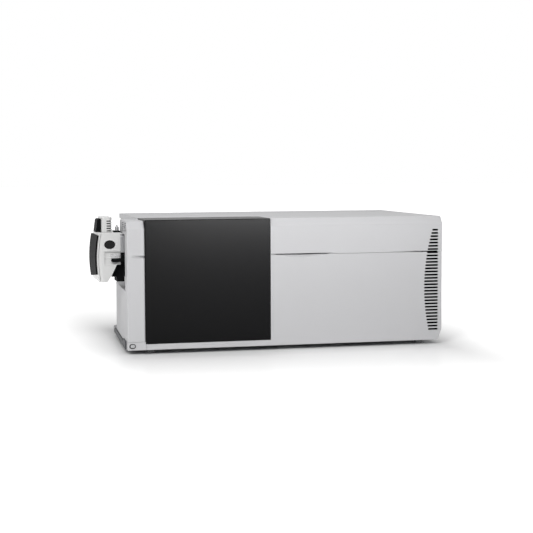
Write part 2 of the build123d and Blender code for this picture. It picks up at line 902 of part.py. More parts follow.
with BuildPart() as selection_valve:
    rod_y(valve_x, liner_y1 - valve_foot_t, liner_y1, valve_z, valve_r + valve_foot)
    rod_y(valve_x, liner_y1 - valve_l, liner_y1 - valve_foot_t, valve_z, valve_r)
    rod_y(valve_x, liner_y1 - valve_l - valve_hub_l, liner_y1 - valve_l, valve_z, valve_hub_r)
    for i in range(port_count):
        turn = 2 * pi * (i + 0.5) / port_count
        rod_y(
            valve_x + port_ring * cos(turn),
            liner_y1 - valve_l - port_l,
            liner_y1 - valve_l,
            valve_z + port_ring * sin(turn),
            port_r,
        )
save(selection_valve, "selection_valve")


# ------------------------------------------------------------------ fixed side of the ion source
mount_y0 = src_y0 + src_wall
mount_y1 = src_y1 - src_wall
mount_z0 = src_z - 38.0
mount_z1 = src_z + 42.0
mount_round = 8.0
seal_r = 34.0
seal_w = 3.0
seal_d = 2.0
cone_r0 = 12.0  # the capillary's nose cone, where it sits in the mount

with BuildPart() as source_mount:
    block(block_x0, wall_x0 - fit, mount_y0, mount_y1, mount_z0, mount_z1)
    fillet(source_mount.edges().filter_by(Axis.X), mount_round)
    rod_x(block_x0 + skin + seal_d, wall_x0, src_y, src_z, tube_r, mode=Mode.SUBTRACT)
    # Groove for the sealing ring, then the capillary's seat
    rod_x(block_x0 - 1.0, block_x0 + seal_d, src_y, src_z, seal_r, mode=Mode.SUBTRACT)
    rod_x(block_x0, block_x0 + seal_d, src_y, src_z, seal_r - seal_w)
    rod_x(block_x0 - 1.0, wall_x0, src_y, src_z, cone_r0 + run, mode=Mode.SUBTRACT)
save(source_mount, "source_mount")

with BuildPart() as source_seal:
    rod_x(block_x0 - fit / 2, block_x0 + seal_d, src_y, src_z, seal_r)
    rod_x(block_x0 - 1.0, block_x0 + seal_d + 1.0, src_y, src_z, seal_r - seal_w, mode=Mode.SUBTRACT)
save(source_seal, "source_seal")

cone_l = 13.0
cone_r = 4.0
line_r = 3.0
line_bore_r = 1.0
line_end = man_x0 + man_wall + 12.0

with BuildPart() as inlet_capillary:
    with BuildSketch(front(src_y)):
        with BuildLine():
            Polyline(
                (block_x0 - cone_l, src_z),
                (block_x0 - cone_l, src_z + cone_r),
                (block_x0, src_z + cone_r0),
                (block_x0 + skin + seal_d, src_z + cone_r0),
                (block_x0 + skin + seal_d, src_z + line_r),
                (line_end, src_z + line_r),
                (line_end, src_z),
                close=True,
            )
        make_face()
    revolve(axis=Axis((0, src_y, src_z), (1, 0, 0)))
    rod_x(block_x0 - cone_l - 1.0, man_x1, src_y, src_z, line_bore_r, mode=Mode.SUBTRACT)
save(inlet_capillary, "inlet_capillary")

# Exhaust duct: a black moulding under the source whose front wedge follows the housing's slope
duct_y0 = y_f + 130.0
duct_y1 = y_f + 250.0
duct_nose_x = x_l - 30.0
duct_brow_x = x_l - 15.5
duct_z0 = z_b + 213.0
duct_nose_z = z_b + 222.5
duct_brow_z = z_b + 252.5
duct_top_z = z_b + 258.5
spout_x0 = x_l - 14.0
spout_x1 = x_l + 9.0
spout_z0 = z_b + 198.0
spout_d = 70.0
spout_r = 7.0

with BuildPart() as exhaust_duct:
    with BuildSketch(front(duct_y0)) as duct:
        with BuildLine():
            Polyline(
                (duct_nose_x, duct_z0),
                (duct_nose_x, duct_nose_z),
                (duct_brow_x, duct_brow_z),
                (block_x0, duct_top_z),
                (block_x0, mount_z0 - fit),
                (wall_x0 - fit, mount_z0 - fit),
                (wall_x0 - fit, duct_z0),
                close=True,
            )
        make_face()
    extrude(duct.sketch, amount=duct_y1 - duct_y0, dir=(0, 1, 0))
    block(spout_x0, spout_x1, duct_y0, duct_y0 + spout_d, spout_z0, duct_z0)
    rod_z(
        (spout_x0 + spout_x1) / 2,
        duct_y0 + spout_d / 2,
        spout_z0 - 1.0,
        duct_z0 + 20.0,
        spout_r,
        mode=Mode.SUBTRACT,
    )
save(exhaust_duct, "exhaust_duct")


# ------------------------------------------------------------------ swinging side of the ion source
src_hinge_x = src_x1 + 5.0
src_hinge_y = src_y1 + 8.0
src_pin_r = 3.5
src_knuckle_r = 7.0
belly_z = z_b + 262.0
src_x_top = x_l - 68.0
src_x_belly = x_l - 77.0
src_x_foot = x_l - 71.0
src_nose_r = 15.0
src_heel_r = 6.0
cheek_x1 = x_l - 16.0
cheek_z1 = z_b + 256.0
cheek_x0 = x_l - 33.0
cheek_z0 = z_b + 221.0
foot_x1 = x_l - 47.0


def source_outline(y, inset):
    """Front view of the source's housing at y, drawn in by inset."""
    with BuildSketch(front(y)) as outline:
        with BuildLine():
            ThreePointArc((src_x_foot, src_foot), (src_x_belly, belly_z), (src_x_top, src_top))
            Polyline(
                (src_x_top, src_top),
                (src_x1, src_top),
                (src_x1, belly_z),
                (cheek_x1, cheek_z1),
                (cheek_x0, cheek_z0),
                (foot_x1, src_foot),
                (src_x_foot, src_foot),
            )
        make_face()
        if inset:
            offset(amount=-inset, kind=Kind.INTERSECTION, mode=Mode.REPLACE)
    return outline.sketch


window_x = x_l - 39.0
window_z = z_b + 314.0
window_a = 16.8
window_b = 13.2
window_inset = 0.8
window_rim = 2.5
window_rim_t = 2.0
ledge_z = z_b + 293.0
ledge_x0 = x_l - 55.0
strike_z0 = z_b + 272.0
recess_z0 = z_b + 250.0
recess_d = 8.0
pad_y1 = src_y0 + recess_d + src_wall
needle_x = x_l - 45.0
needle_r = 8.0
fitting_x = x_l - 13.0
fitting_y = src_y0 + 30.0
fitting_r = 6.0

with BuildPart() as source_housing:
    extrude(source_outline(src_y0, 0), amount=src_w, dir=(0, 1, 0))
    fillet(source_housing.edges().filter_by(GeomType.CIRCLE).group_by(Axis.Y)[0], src_nose_r)
    fillet(source_housing.edges().filter_by(GeomType.CIRCLE).group_by(Axis.Y)[-1], src_heel_r)
    hollow = source_outline(mount_y0, src_wall)
    extrude(hollow, amount=src_w - 2 * src_wall, dir=(0, 1, 0), mode=Mode.SUBTRACT)
    # Open on the side of the cabinet
    block(
        src_x1 - src_wall - 1.0,
        src_x1 + 1.0,
        pad_y1,
        mount_y1,
        belly_z + src_wall,
        src_top - src_wall,
        mode=Mode.SUBTRACT,
    )
    # Pad behind the front wall for the latch recess, then the recess under its ledge
    block(ledge_x0 - src_wall, src_x1, mount_y0, pad_y1, recess_z0 + 2.0, ledge_z + src_wall)
    with BuildSketch(side(ledge_x0)) as recess:
        with BuildLine():
            Polyline(
                (src_y0 - 1.0, ledge_z),
                (src_y0 + recess_d, ledge_z),
                (src_y0 + recess_d, strike_z0),
                (src_y0, recess_z0),
                (src_y0 - 1.0, recess_z0),
                close=True,
            )
        make_face()
    extrude(recess.sketch, amount=src_x1 - ledge_x0 + 1.0, mode=Mode.SUBTRACT)
    with BuildSketch(front(src_y0 - 1.0)) as window_hole:
        with Locations((window_x, window_z)):
            Ellipse(window_a + fit, window_b + fit)
    extrude(window_hole.sketch, amount=src_wall + 2.0, dir=(0, 1, 0), mode=Mode.SUBTRACT)
    rod_z(needle_x, src_y, src_top - src_wall - 1.0, src_top + 1.0, needle_r + fit, mode=Mode.SUBTRACT)
save(source_housing, "source_housing")

chamber_r = 35.0
chamber_bore_r = 29.0
chamber_x0 = x_l - 64.0
plate_t = 4.0
leaf_w = 30.0
ear_x = src_x1 - plate_t
ear_zs = (src_z - 22.0, src_z + 22.0)
ear_zh = 9.0

with BuildPart() as spray_chamber:
    block(ear_x, src_x1, pad_y1 + fit, mount_y1 - fit, belly_z + src_wall + fit, src_top - src_wall - fit)
    rod_x(chamber_x0, src_x1, src_y, src_z, chamber_r)
    rod_x(chamber_x0 + plate_t, src_x1 + 1.0, src_y, src_z, chamber_bore_r, mode=Mode.SUBTRACT)
    rod_z(needle_x, src_y, src_z, src_z + chamber_r + 1.0, needle_r / 2 + fit, mode=Mode.SUBTRACT)
save(spray_chamber, "spray_chamber")

with BuildPart() as source_hinge_leaf:
    for z in ear_zs:
        block(
            ear_x - leaf_w,
            src_hinge_x,
            src_y1 + fit,
            src_y1 + fit + plate_t,
            z - ear_zh,
            z + ear_zh,
        )
        rod_z(src_hinge_x, src_hinge_y, z - ear_zh, z + ear_zh, src_knuckle_r)
        block(
            src_hinge_x - src_knuckle_r,
            src_hinge_x,
            src_y1 + fit,
            src_hinge_y,
            z - ear_zh,
            z + ear_zh,
        )
        rod_z(
            src_hinge_x,
            src_hinge_y,
            z - ear_zh - 1.0,
            z + ear_zh + 1.0,
            src_pin_r + run,
            mode=Mode.SUBTRACT,
        )
    block(ear_x - leaf_w, ear_x - plate_t, src_y1 + fit, src_y1 + fit + plate_t, ear_zs[0], ear_zs[1])
save(source_hinge_leaf, "source_hinge_leaf")

pin_z0 = ear_zs[0] - 3 * ear_zh
pin_z1 = ear_zs[1] + 2 * ear_zh
pin_head = 2.0
bracket_x1 = x_l + 40.0

with BuildPart() as source_hinge_bracket:
    for low, high in ((pin_z0, ear_zs[0] - ear_zh - fit), (ear_zs[1] + ear_zh + fit, pin_z1)):
        rod_z(src_hinge_x, src_hinge_y, low, high, src_knuckle_r)
        block(
            src_hinge_x,
            src_hinge_x + src_knuckle_r,
            mount_y1 + fit,
            src_hinge_y,
            low,
            high,
        )
        rod_z(src_hinge_x, src_hinge_y, low - 1.0, high + 1.0, src_pin_r + run, mode=Mode.SUBTRACT)
    block(
        src_hinge_x + src_knuckle_r,
        bracket_x1,
        mount_y1 + fit,
        mount_y1 + fit + plate_t,
        pin_z0,
        pin_z1,
    )
save(source_hinge_bracket, "source_hinge_bracket")

with BuildPart() as source_hinge_pin:
    rod_z(src_hinge_x, src_hinge_y, pin_z0, pin_z1, src_pin_r)
    rod_z(src_hinge_x, src_hinge_y, pin_z1, pin_z1 + pin_head, src_pin_r + pin_head)
save(source_hinge_pin, "source_hinge_pin")

# Black end shield, bowed with the housing, and the clip above it
shield_t = 4.5
shield_y0 = y_f + 119.0
shield_y1 = src_y1 + 8.0
shield_round = 6.0
shield_top = z_b + 341.0
shield_low_front = z_b + 222.0
shield_low_back = z_b + 206.0
bow_x_foot = src_x_foot - fit
bow_x_belly = src_x_belly - fit
bow_x_top = src_x_top - fit

with BuildPart() as end_shield:
    with BuildSketch(front(shield_y0)) as bow:
        with BuildLine():
            ThreePointArc((bow_x_foot, src_foot), (bow_x_belly, belly_z), (bow_x_top, src_top))
            Line((bow_x_top, src_top), (bow_x_top - shield_t, src_top))
            ThreePointArc(
                (bow_x_top - shield_t, src_top),
                (bow_x_belly - shield_t, belly_z),
                (bow_x_foot - shield_t, src_foot),
            )
            Line((bow_x_foot - shield_t, src_foot), (bow_x_foot, src_foot))
        make_face()
    extrude(bow.sketch, amount=shield_y1 - shield_y0, dir=(0, 1, 0))
    # Trimmed in side view: the lower edge falls towards the back and the top is level
    with BuildSketch(side(x_l - 120.0)) as trim:
        with BuildLine():
            Polyline(
                (shield_y0 - 1.0, shield_low_front),
                (shield_y1 + 1.0, shield_low_back),
                (shield_y1 + 1.0, src_foot - 5.0),
                (shield_y0 - 1.0, src_foot - 5.0),
                close=True,
            )
        make_face()
        with Locations(((shield_y0 + shield_y1) / 2, shield_top + 10.0)):
            Rectangle(shield_y1 - shield_y0 + 2.0, 20.0)
    extrude(trim.sketch, amount=120.0, mode=Mode.SUBTRACT)
    fillet(end_shield.edges().filter_by(Axis.X), shield_round)
save(end_shield, "end_shield")

hood_x0 = x_l - 62.0
hood_x1 = x_l - 28.0
hood_y0 = y_f + 125.0
hood_y1 = y_f + 225.0
hood_top = z_b + 398.0
hood_round = 11.0
hood_rim = 3.0
hood_slots = 6
hood_pitch = 7.5
hood_slot_h = 3.4
hood_slot_w = 17.0
hood_slot_d = 30.0
hood_slot_top = 13.0

with BuildPart() as nebulizer_cover:
    with BuildSketch(Plane.XY.offset(src_top + fit)):
        with Locations(((hood_x0 + hood_x1) / 2, (hood_y0 + hood_y1) / 2)):
            RectangleRounded(hood_x1 - hood_x0, hood_y1 - hood_y0, hood_round)
    extrude(amount=hood_top - src_top - fit)
    fillet(nebulizer_cover.faces().sort_by(Axis.Z)[-1].edges(), hood_rim)
    with BuildSketch(Plane.XY.offset(src_top + fit)) as hood_hollow:
        with Locations(((hood_x0 + hood_x1) / 2, (hood_y0 + hood_y1) / 2)):
            RectangleRounded(hood_x1 - hood_x0 - 2 * skin, hood_y1 - hood_y0 - 2 * skin, hood_round - skin)
    extrude(hood_hollow.sketch, amount=hood_top - src_top - fit - skin, mode=Mode.SUBTRACT)
    for i in range(hood_slots):
        slot_z = hood_top - hood_slot_top - i * hood_pitch
        if slot_z - 2.0 < src_top + fit:
            continue
        block(
            hood_x1 - hood_slot_w,
            hood_x1 + 1.0,
            hood_y0 - 1.0,
            hood_y0 + hood_slot_d,
            slot_z - hood_slot_h / 2,
            slot_z + hood_slot_h / 2,
            mode=Mode.SUBTRACT,
        )
save(nebulizer_cover, "nebulizer_cover")

with BuildPart() as nebulizer:
    rod_z(needle_x, src_y, src_z + chamber_r + fit, hood_top - 2 * skin, needle_r)
    rod_z(needle_x, src_y, src_z + chamber_r - 12.0, src_z + chamber_r + fit, needle_r / 2)
    rod_z(needle_x, src_y, src_z + chamber_r - 13.0, hood_top, 0.8, mode=Mode.SUBTRACT)
save(nebulizer, "nebulizer")

clip_d = 70.0
clip_foot = 16.0
clip_top_w = 8.0
clip_top = hood_top - 6.0
clip_slant = 4.0

with BuildPart() as shield_clip:
    with BuildSketch(front(hood_y0 + hood_rim)) as clip:
        with BuildLine():
            Polyline(
                (hood_x0 - fit, src_top + fit),
                (hood_x0 - clip_foot, src_top + fit),
                (hood_x0 - clip_top_w - 3.0, clip_top - clip_slant),
                (hood_x0 - clip_top_w, clip_top),
                (hood_x0 - fit, clip_top),
                close=True,
            )
        make_face()
    extrude(clip.sketch, amount=clip_d, dir=(0, 1, 0))
save(shield_clip, "shield_clip")

with BuildPart() as view_window:
    with BuildSketch(front(src_y0 + window_inset)) as pane:
        with Locations((window_x, window_z)):
            Ellipse(window_a, window_b)
    extrude(pane.sketch, amount=src_wall - window_inset + fit, dir=(0, 1, 0))
    with BuildSketch(front(src_y0 + src_wall + fit)) as flange:
        with Locations((window_x, window_z)):
            Ellipse(window_a + window_rim, window_b + window_rim)
    extrude(flange.sketch, amount=window_rim_t, dir=(0, 1, 0))
save(view_window, "view_window")

fitting_z0 = src_top + 4.0
fitting_nut_z = fitting_z0 + 11.0
fitting_neck_z = fitting_z0 + 15.0
fitting_tip_z = fitting_z0 + 18.5
fitting_z1 = fitting_z0 + 19.5
fitting_tip_r = 2.4
flute_count = 6
flute_r = 1.1

with BuildPart() as fitting_plate:
    block(x_l - 24.0, src_x1 + 2.0, fitting_y - 20.0, fitting_y + 22.0, src_top + fit, fitting_z0)
    fillet(fitting_plate.edges().filter_by(Axis.Z), 3.0)
save(fitting_plate, "fitting_plate")

with BuildPart() as gas_fitting:
    with BuildSketch(front(fitting_y)):
        with BuildLine():
            Polyline(
                (fitting_x, fitting_z0),
                (fitting_x + fitting_r, fitting_z0),
                (fitting_x + fitting_r, fitting_nut_z),
                (fitting_x + fitting_tip_r, fitting_neck_z),
                (fitting_x + fitting_tip_r, fitting_tip_z),
                (fitting_x, fitting_z1),
                close=True,
            )
        make_face()
    revolve(axis=Axis((fitting_x, fitting_y, 0), (0, 0, 1)))
    for i in range(flute_count):
        turn = 2 * pi * i / flute_count
        rod_z(
            fitting_x + fitting_r * cos(turn),
            fitting_y + fitting_r * sin(turn),
            fitting_z0 + 1.5,
            fitting_nut_z + 1.0,
            flute_r,
            mode=Mode.SUBTRACT,
        )
save(gas_fitting, "gas_fitting")

# Latch: a strike plate in the housing's recess, and a lever on the cabinet's side
strike_x0 = x_l - 36.0
strike_y0 = src_y0 - 1.0
strike_h = 11.5
strike_base = strike_z0 + 1.0
groove_z = strike_z0 + 5.0
groove_h = 2.5
groove_d = 2.5

with BuildPart() as latch_strike:
    block(strike_x0, src_x1 - 1.0, strike_y0, src_y0 + recess_d - fit, strike_base, strike_base + strike_h)
    block(
        strike_x0 - 1.0,
        src_x1,
        strike_y0 - 1.0,
        strike_y0 + groove_d,
        groove_z,
        groove_z + groove_h,
        mode=Mode.SUBTRACT,
    )
save(latch_strike, "latch_strike")

lever_z = z_b + 266.0
lever_x = x_l + 9.0
lever_y0 = y_f + 91.0
lever_y1 = y_f + 97.5
lever_r = 5.0
lever_end = x_l - 31.0
lever_pin_r = 2.5

lever_gap = 1.0
bracket_x0 = x_l - 5.0
bracket_w = 29.0
bracket_h = 24.0
bracket_z0 = lever_z - 1.0
bracket_y0 = lever_y1 + lever_gap
boss_r = 7.0

with BuildPart() as latch_bracket:
    block(bracket_x0, bracket_x0 + bracket_w, bracket_y0, mount_y0 - fit, bracket_z0, bracket_z0 + bracket_h)
    rod_y(lever_x, bracket_y0, mount_y0 - fit, lever_z, boss_r)
    rod_y(lever_x, lever_y0 - 0.5, bracket_y0, lever_z, lever_pin_r)
save(latch_bracket, "latch_bracket")

with BuildPart() as latch_lever:
    with BuildSketch(front(lever_y0)) as bar:
        with Locations(((lever_end + lever_x) / 2, lever_z)):
            SlotCenterToCenter(lever_x - lever_end, 2 * lever_r)
    extrude(bar.sketch, amount=lever_y1 - lever_y0, dir=(0, 1, 0))
    rod_y(lever_x, lever_y0 - 1.0, lever_y1 + 1.0, lever_z, lever_pin_r + run, mode=Mode.SUBTRACT)
save(latch_lever, "latch_lever")


# ------------------------------------------------------------------ vacuum manifold and what it holds
with BuildPart() as vacuum_manifold:
    block(man_x0, man_x1, man_y0, man_y1, man_z0, man_z1)
    block(
        man_x0 + man_wall,
        man_x1 - man_wall,
        man_y0 + man_wall,
        man_y1 - man_wall,
        man_floor,
        man_z1 + 1.0,
        mode=Mode.SUBTRACT,
    )
    rod_x(man_x0 - 1.0, man_x0 + man_wall + 1.0, src_y, src_z, line_r + run, mode=Mode.SUBTRACT)
save(vacuum_manifold, "vacuum_manifold")

with BuildPart() as manifold_lid:
    block(man_x0, man_x1, man_y0, man_y1, man_z1, man_z1 + man_lid)
save(manifold_lid, "manifold_lid")

stand_t = 4.0
stand_w = 30.0
with BuildPart() as manifold_stand:
    for x in (man_x0 + 30.0, man_x1 - 70.0):
        block(x, x + stand_t, man_y0, man_y1, tray_z1, man_z0)
        block(x, x + stand_w, man_y0, man_y1, tray_z1, tray_z1 + stand_t)
        block(x, x + stand_w, man_y0, man_y1, man_z0 - stand_t, man_z0)
save(manifold_stand, "manifold_stand")

pump_r = 52.0
pump_flange_r = 62.0
pump_h = 165.0
pump_flange_t = 10.0
pump_base_h = 40.0
pump_base_step = 14.0
pump_xs = (man_x0 + man_l / 4, man_x0 + 2 * man_l / 3)
for i, x in enumerate(pump_xs):
    with BuildPart() as turbo_pump:
        rod_z(x, src_y, man_z0 - pump_flange_t, man_z0, pump_flange_r)
        rod_z(x, src_y, man_z0 - pump_h + pump_base_h, man_z0 - pump_flange_t, pump_r)
        rod_z(x, src_y, man_z0 - pump_h, man_z0 - pump_h + pump_base_h, pump_r - pump_base_step)
    save(turbo_pump, f"turbo_pump_{i + 1}")


def rod_set(count, x0, length, ring_r, rod_r, collar_r):
    """Parallel rods held by a collar near each end; the collars stand on the manifold's floor."""
    for i in range(count):
        turn = 2 * pi * (i + 0.5) / count
        rod_x(x0, x0 + length, src_y + ring_r * cos(turn), src_z + ring_r * sin(turn), rod_r)
    for x in (x0 + 0.1 * length, x0 + 0.9 * length):
        rod_x(x - 6.0, x + 6.0, src_y, src_z, collar_r)
        rod_x(x - 7.0, x + 7.0, src_y, src_z, ring_r - 1.0, mode=Mode.SUBTRACT)
        block(x - 6.0, x + 6.0, src_y - collar_r / 2, src_y + collar_r / 2, man_floor, src_z - ring_r - 2.0)


optics_x0 = man_x0 + man_wall + optics_in
guide_rods = 8
guide_ring_r = 14.0
guide_rod_r = 2.5
guide_collar_r = 22.0
filter_rods = 4
filter_ring_r = 20.0
filter_rod_r = 9.0
filter_collar_r = 36.0
cell_half = 32.0
cell_bore_r = 10.0

with BuildPart() as ion_guide:
    rod_set(guide_rods, optics_x0, guide_l, guide_ring_r, guide_rod_r, guide_collar_r)
save(ion_guide, "ion_guide")

filter_x0 = optics_x0 + guide_l + optics_gap
with BuildPart() as quadrupole_1:
    rod_set(filter_rods, filter_x0, filter_l, filter_ring_r, filter_rod_r, filter_collar_r)
save(quadrupole_1, "quadrupole_1")

cell_x0 = filter_x0 + filter_l + optics_gap
with BuildPart() as collision_cell:
    block(cell_x0, cell_x0 + cell_l, src_y - cell_half, src_y + cell_half, man_floor, src_z + cell_half)
    rod_x(cell_x0 - 1.0, cell_x0 + cell_l + 1.0, src_y, src_z, cell_bore_r, mode=Mode.SUBTRACT)
save(collision_cell, "collision_cell")

filter2_x0 = cell_x0 + cell_l + optics_gap
with BuildPart() as quadrupole_3:
    rod_set(filter_rods, filter2_x0, filter_l, filter_ring_r, filter_rod_r, filter_collar_r)
save(quadrupole_3, "quadrupole_3")

detector_x0 = filter2_x0 + filter_l + optics_gap
detector_w = 60.0
with BuildPart() as ion_detector:
    detector_x1 = detector_x0 + detector_l
    block(detector_x0, detector_x1, src_y - detector_w / 2, src_y + detector_w / 2, man_floor, src_z + 34.0)
    rod_x(detector_x0 - 1.0, detector_x1 - detector_l / 3, src_y, src_z, detector_w / 4, mode=Mode.SUBTRACT)
save(ion_detector, "ion_detector")


# ------------------------------------------------------------------ electronics
supply_x0 = right_x0 + 60.0
supply_w = 230.0
supply_h = 145.0
with BuildPart() as power_supply:
    block(supply_x0, supply_x0 + supply_w, y_f + 24.0, man_y0 - 8.0, tray_z1, tray_z1 + supply_h)
save(power_supply, "power_supply")

rf_x0 = x_l + 0.42 * cab_w
rf_w = 300.0
rf_h = 175.0
with BuildPart() as rf_generator:
    block(rf_x0, rf_x0 + rf_w, man_y1 + 20.0, panel_y0 - 60.0, tray_z1, tray_z1 + rf_h)
save(rf_generator, "rf_generator")

board_y = y_f + 40.0
board_x0 = supply_x0 + supply_w + 20.0
board_w = 160.0
board_x1 = board_x0 + board_w
board_t = 1.6
board_z1 = z_b + 220.0
board_foot = 22.0
board_leg = 8.0
chip_w = 26.0
chip_h = 22.0
chip_t = 5.0
chip_pitch_x = 40.0
chip_pitch_z = 46.0
with BuildPart() as control_board:
    block(board_x0, board_x1, board_y, board_y + board_t, tray_z1 + board_leg, board_z1)
    block(board_x0, board_x0 + board_leg, board_y + board_t, board_y + board_foot, tray_z1, board_z1)
    block(board_x1 - board_leg, board_x1, board_y + board_t, board_y + board_foot, tray_z1, board_z1)
    for i in range(3):
        for j in range(4):
            chip_x = board_x0 + 22.0 + chip_pitch_x * i
            chip_z = tray_z1 + 24.0 + chip_pitch_z * j
            block(chip_x, chip_x + chip_w, board_y - chip_t, board_y, chip_z, chip_z + chip_h)
save(control_board, "control_board")


# ------------------------------------------------------------------ rear panel and its fittings
fan_size = 120.0
fan_d = 38.0
fan_bore_r = 57.0
fan_hub_r = 22.0
fan_x = x_r - 180.0
fan_z = z_b + 250.0
fan_shaft_r = 4.0
fan_blades = 7
fan_base_t = 6.0
fan_arm_w = 6.0
fan_arm_t = 4.0
fan_round = 6.0
guard_spoke = 5.0
shaft_short = 8.0
rotor_short = 5.0
blade_w = 20.0
blade_t = 2.0
blade_pitch = 40
port_x = pump_xs[0]
port_z = man_z0 - pump_h + 60.0
port_tube_r = 12.5
port_flange_r = 20.0
gas_xs = (x_l + 160.0, x_l + 200.0)
gas_z = z_b + 110.0
gas_r = 6.0
mains_x = x_l + 420.0
mains_z = z_b + 60.0
mains_w = 48.0
mains_h = 28.0
mains_d = 26.0
mains_rim = 4.0
mains_rim_t = 2.5
socket_w = 32.0
socket_h = 18.0
socket_d = 16.0
screw_r = 4.0

with BuildPart() as rear_panel:
    block(wall_x1 + fit, x_r - skin - fit, panel_y0, panel_y1, z_b + taper_h + fit, z_t - skin - fit)
    block(wall_x1 + fit, x_r - taper_w - skin - fit, panel_y0, panel_y1, tray_z1, z_b + taper_h + fit)
    # Fan guard: rings cut as arcs between four spokes
    for r0, r1 in ((14.0, 20.0), (25.0, 31.0), (36.0, 42.0), (47.0, 53.0)):
        with BuildSketch(front(panel_y0 - 1.0)) as ring:
            with Locations((fan_x, fan_z)):
                Circle(r1)
                Circle(r0, mode=Mode.SUBTRACT)
                Rectangle(2 * r1 + 2.0, guard_spoke, rotation=45, mode=Mode.SUBTRACT)
                Rectangle(2 * r1 + 2.0, guard_spoke, rotation=-45, mode=Mode.SUBTRACT)
        extrude(ring.sketch, amount=sheet + 2.0, dir=(0, 1, 0), mode=Mode.SUBTRACT)
    rod_y(port_x, panel_y0 - 1.0, panel_y1 + 1.0, port_z, port_tube_r + fit, mode=Mode.SUBTRACT)
    for x in gas_xs:
        rod_y(x, panel_y0 - 1.0, panel_y1 + 1.0, gas_z, gas_r + fit, mode=Mode.SUBTRACT)
    block(
        mains_x - mains_w / 2,
        mains_x + mains_w / 2,
        panel_y0 - 1.0,
        panel_y1 + 1.0,
        mains_z - mains_h / 2,
        mains_z + mains_h / 2,
        mode=Mode.SUBTRACT,
    )
save(rear_panel, "rear_panel")

with BuildPart() as rear_screws:
    for x in (wall_x1 + 20.0, x_l + 350.0, x_l + 650.0, x_r - 30.0):
        for z in (z_b + 50.0, z_t - 24.0):
            with BuildSketch(front(panel_y1)) as head:
                with Locations((x, z)):
                    Circle(screw_r)
            extrude(head.sketch, amount=2.4, dir=(0, 1, 0), taper=20)
save(rear_screws, "rear_screws")

with BuildPart() as fan_frame:
    block(
        fan_x - fan_size / 2,
        fan_x + fan_size / 2,
        panel_y0 - fan_d,
        panel_y0,
        fan_z - fan_size / 2,
        fan_z + fan_size / 2,
    )
    fillet(fan_frame.edges().filter_by(Axis.Y), fan_round)
    rod_y(fan_x, panel_y0 - fan_d - 1.0, panel_y0 + 1.0, fan_z, fan_bore_r, mode=Mode.SUBTRACT)
    # Motor base on four arms, with the shaft that the rotor turns on
    rod_y(fan_x, panel_y0 - fan_d, panel_y0 - fan_d + fan_base_t, fan_z, fan_hub_r)
    for turn in (0, 90):
        with BuildSketch(front(panel_y0 - fan_d)) as arm:
            with Locations((fan_x, fan_z)):
                Rectangle(2 * fan_bore_r + 2.0, fan_arm_w, rotation=turn)
        extrude(arm.sketch, amount=fan_arm_t, dir=(0, 1, 0))
    rod_y(fan_x, panel_y0 - fan_d, panel_y0 - shaft_short, fan_z, fan_shaft_r)
save(fan_frame, "fan_frame")

rotor_y0 = panel_y0 - fan_d + fan_base_t + seam
rotor_y1 = panel_y0 - rotor_short
with BuildPart() as fan_rotor:
    rod_y(fan_x, rotor_y0, rotor_y1, fan_z, fan_hub_r)
    for i in range(fan_blades):
        turn = 360 * i / fan_blades
        blade = Plane(
            origin=(
                fan_x + (fan_hub_r - 2.0) * cos(radians(turn)),
                (rotor_y0 + rotor_y1) / 2,
                fan_z + (fan_hub_r - 2.0) * sin(radians(turn)),
            ),
            x_dir=(-sin(radians(turn)), 0, cos(radians(turn))),
            z_dir=(cos(radians(turn)), 0, sin(radians(turn))),
        )
        with BuildSketch(blade) as vane:
            Rectangle(blade_w, blade_t, rotation=blade_pitch)
        extrude(vane.sketch, amount=fan_bore_r - fan_hub_r - 1.0)
    rod_y(fan_x, rotor_y0 - 1.0, panel_y0 - shaft_short + seam, fan_z, fan_shaft_r + run, mode=Mode.SUBTRACT)
save(fan_rotor, "fan_rotor")

with BuildPart() as foreline_port:
    rod_y(port_x, src_y + pump_r + fit, y_b + reach_back, port_z, port_tube_r)
    rod_y(port_x, y_b + reach_back - 4.0, y_b + reach_back, port_z, port_flange_r)
    rod_y(port_x, panel_y0 - 3.0, panel_y0, port_z, port_flange_r)
    rod_y(port_x, src_y + pump_r, y_b + reach_back + 1.0, port_z, port_tube_r - 2.0, mode=Mode.SUBTRACT)
save(foreline_port, "foreline_port")

with BuildPart() as gas_inlets:
    for x in gas_xs:
        rod_y(x, panel_y0 - 12.0, panel_y1 + 14.0, gas_z, gas_r)
        with BuildSketch(front(panel_y1)) as nut:
            with Locations((x, gas_z)):
                RegularPolygon(gas_r + 4.0, 6)
        extrude(nut.sketch, amount=6.0, dir=(0, 1, 0))
        rod_y(x, panel_y0 - 13.0, panel_y1 + 15.0, gas_z, 2.0, mode=Mode.SUBTRACT)
save(gas_inlets, "gas_inlets")

with BuildPart() as mains_inlet:
    block(
        mains_x - mains_w / 2 + fit,
        mains_x + mains_w / 2 - fit,
        panel_y0 - mains_d,
        panel_y1,
        mains_z - mains_h / 2 + fit,
        mains_z + mains_h / 2 - fit,
    )
    block(
        mains_x - mains_w / 2 - mains_rim,
        mains_x + mains_w / 2 + mains_rim,
        panel_y1,
        panel_y1 + mains_rim_t,
        mains_z - mains_h / 2 - mains_rim,
        mains_z + mains_h / 2 + mains_rim,
    )
    block(
        mains_x - socket_w / 2,
        mains_x + socket_w / 2,
        panel_y1 - socket_d,
        panel_y1 + mains_rim_t + 0.5,
        mains_z - socket_h / 2,
        mains_z + socket_h / 2,
        mode=Mode.SUBTRACT,
    )
    for x, z in ((mains_x - 8.0, mains_z - 3.0), (mains_x + 8.0, mains_z - 3.0), (mains_x, mains_z + 4.0)):
        block(x - 1.5, x + 1.5, panel_y1 - socket_d, panel_y1 - 4.0, z - 2.5, z + 2.5)
save(mains_inlet, "mains_inlet")
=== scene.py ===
import bpy
import bmesh
import json
from math import cos, pi, radians, sin
from mathutils import Matrix, Vector


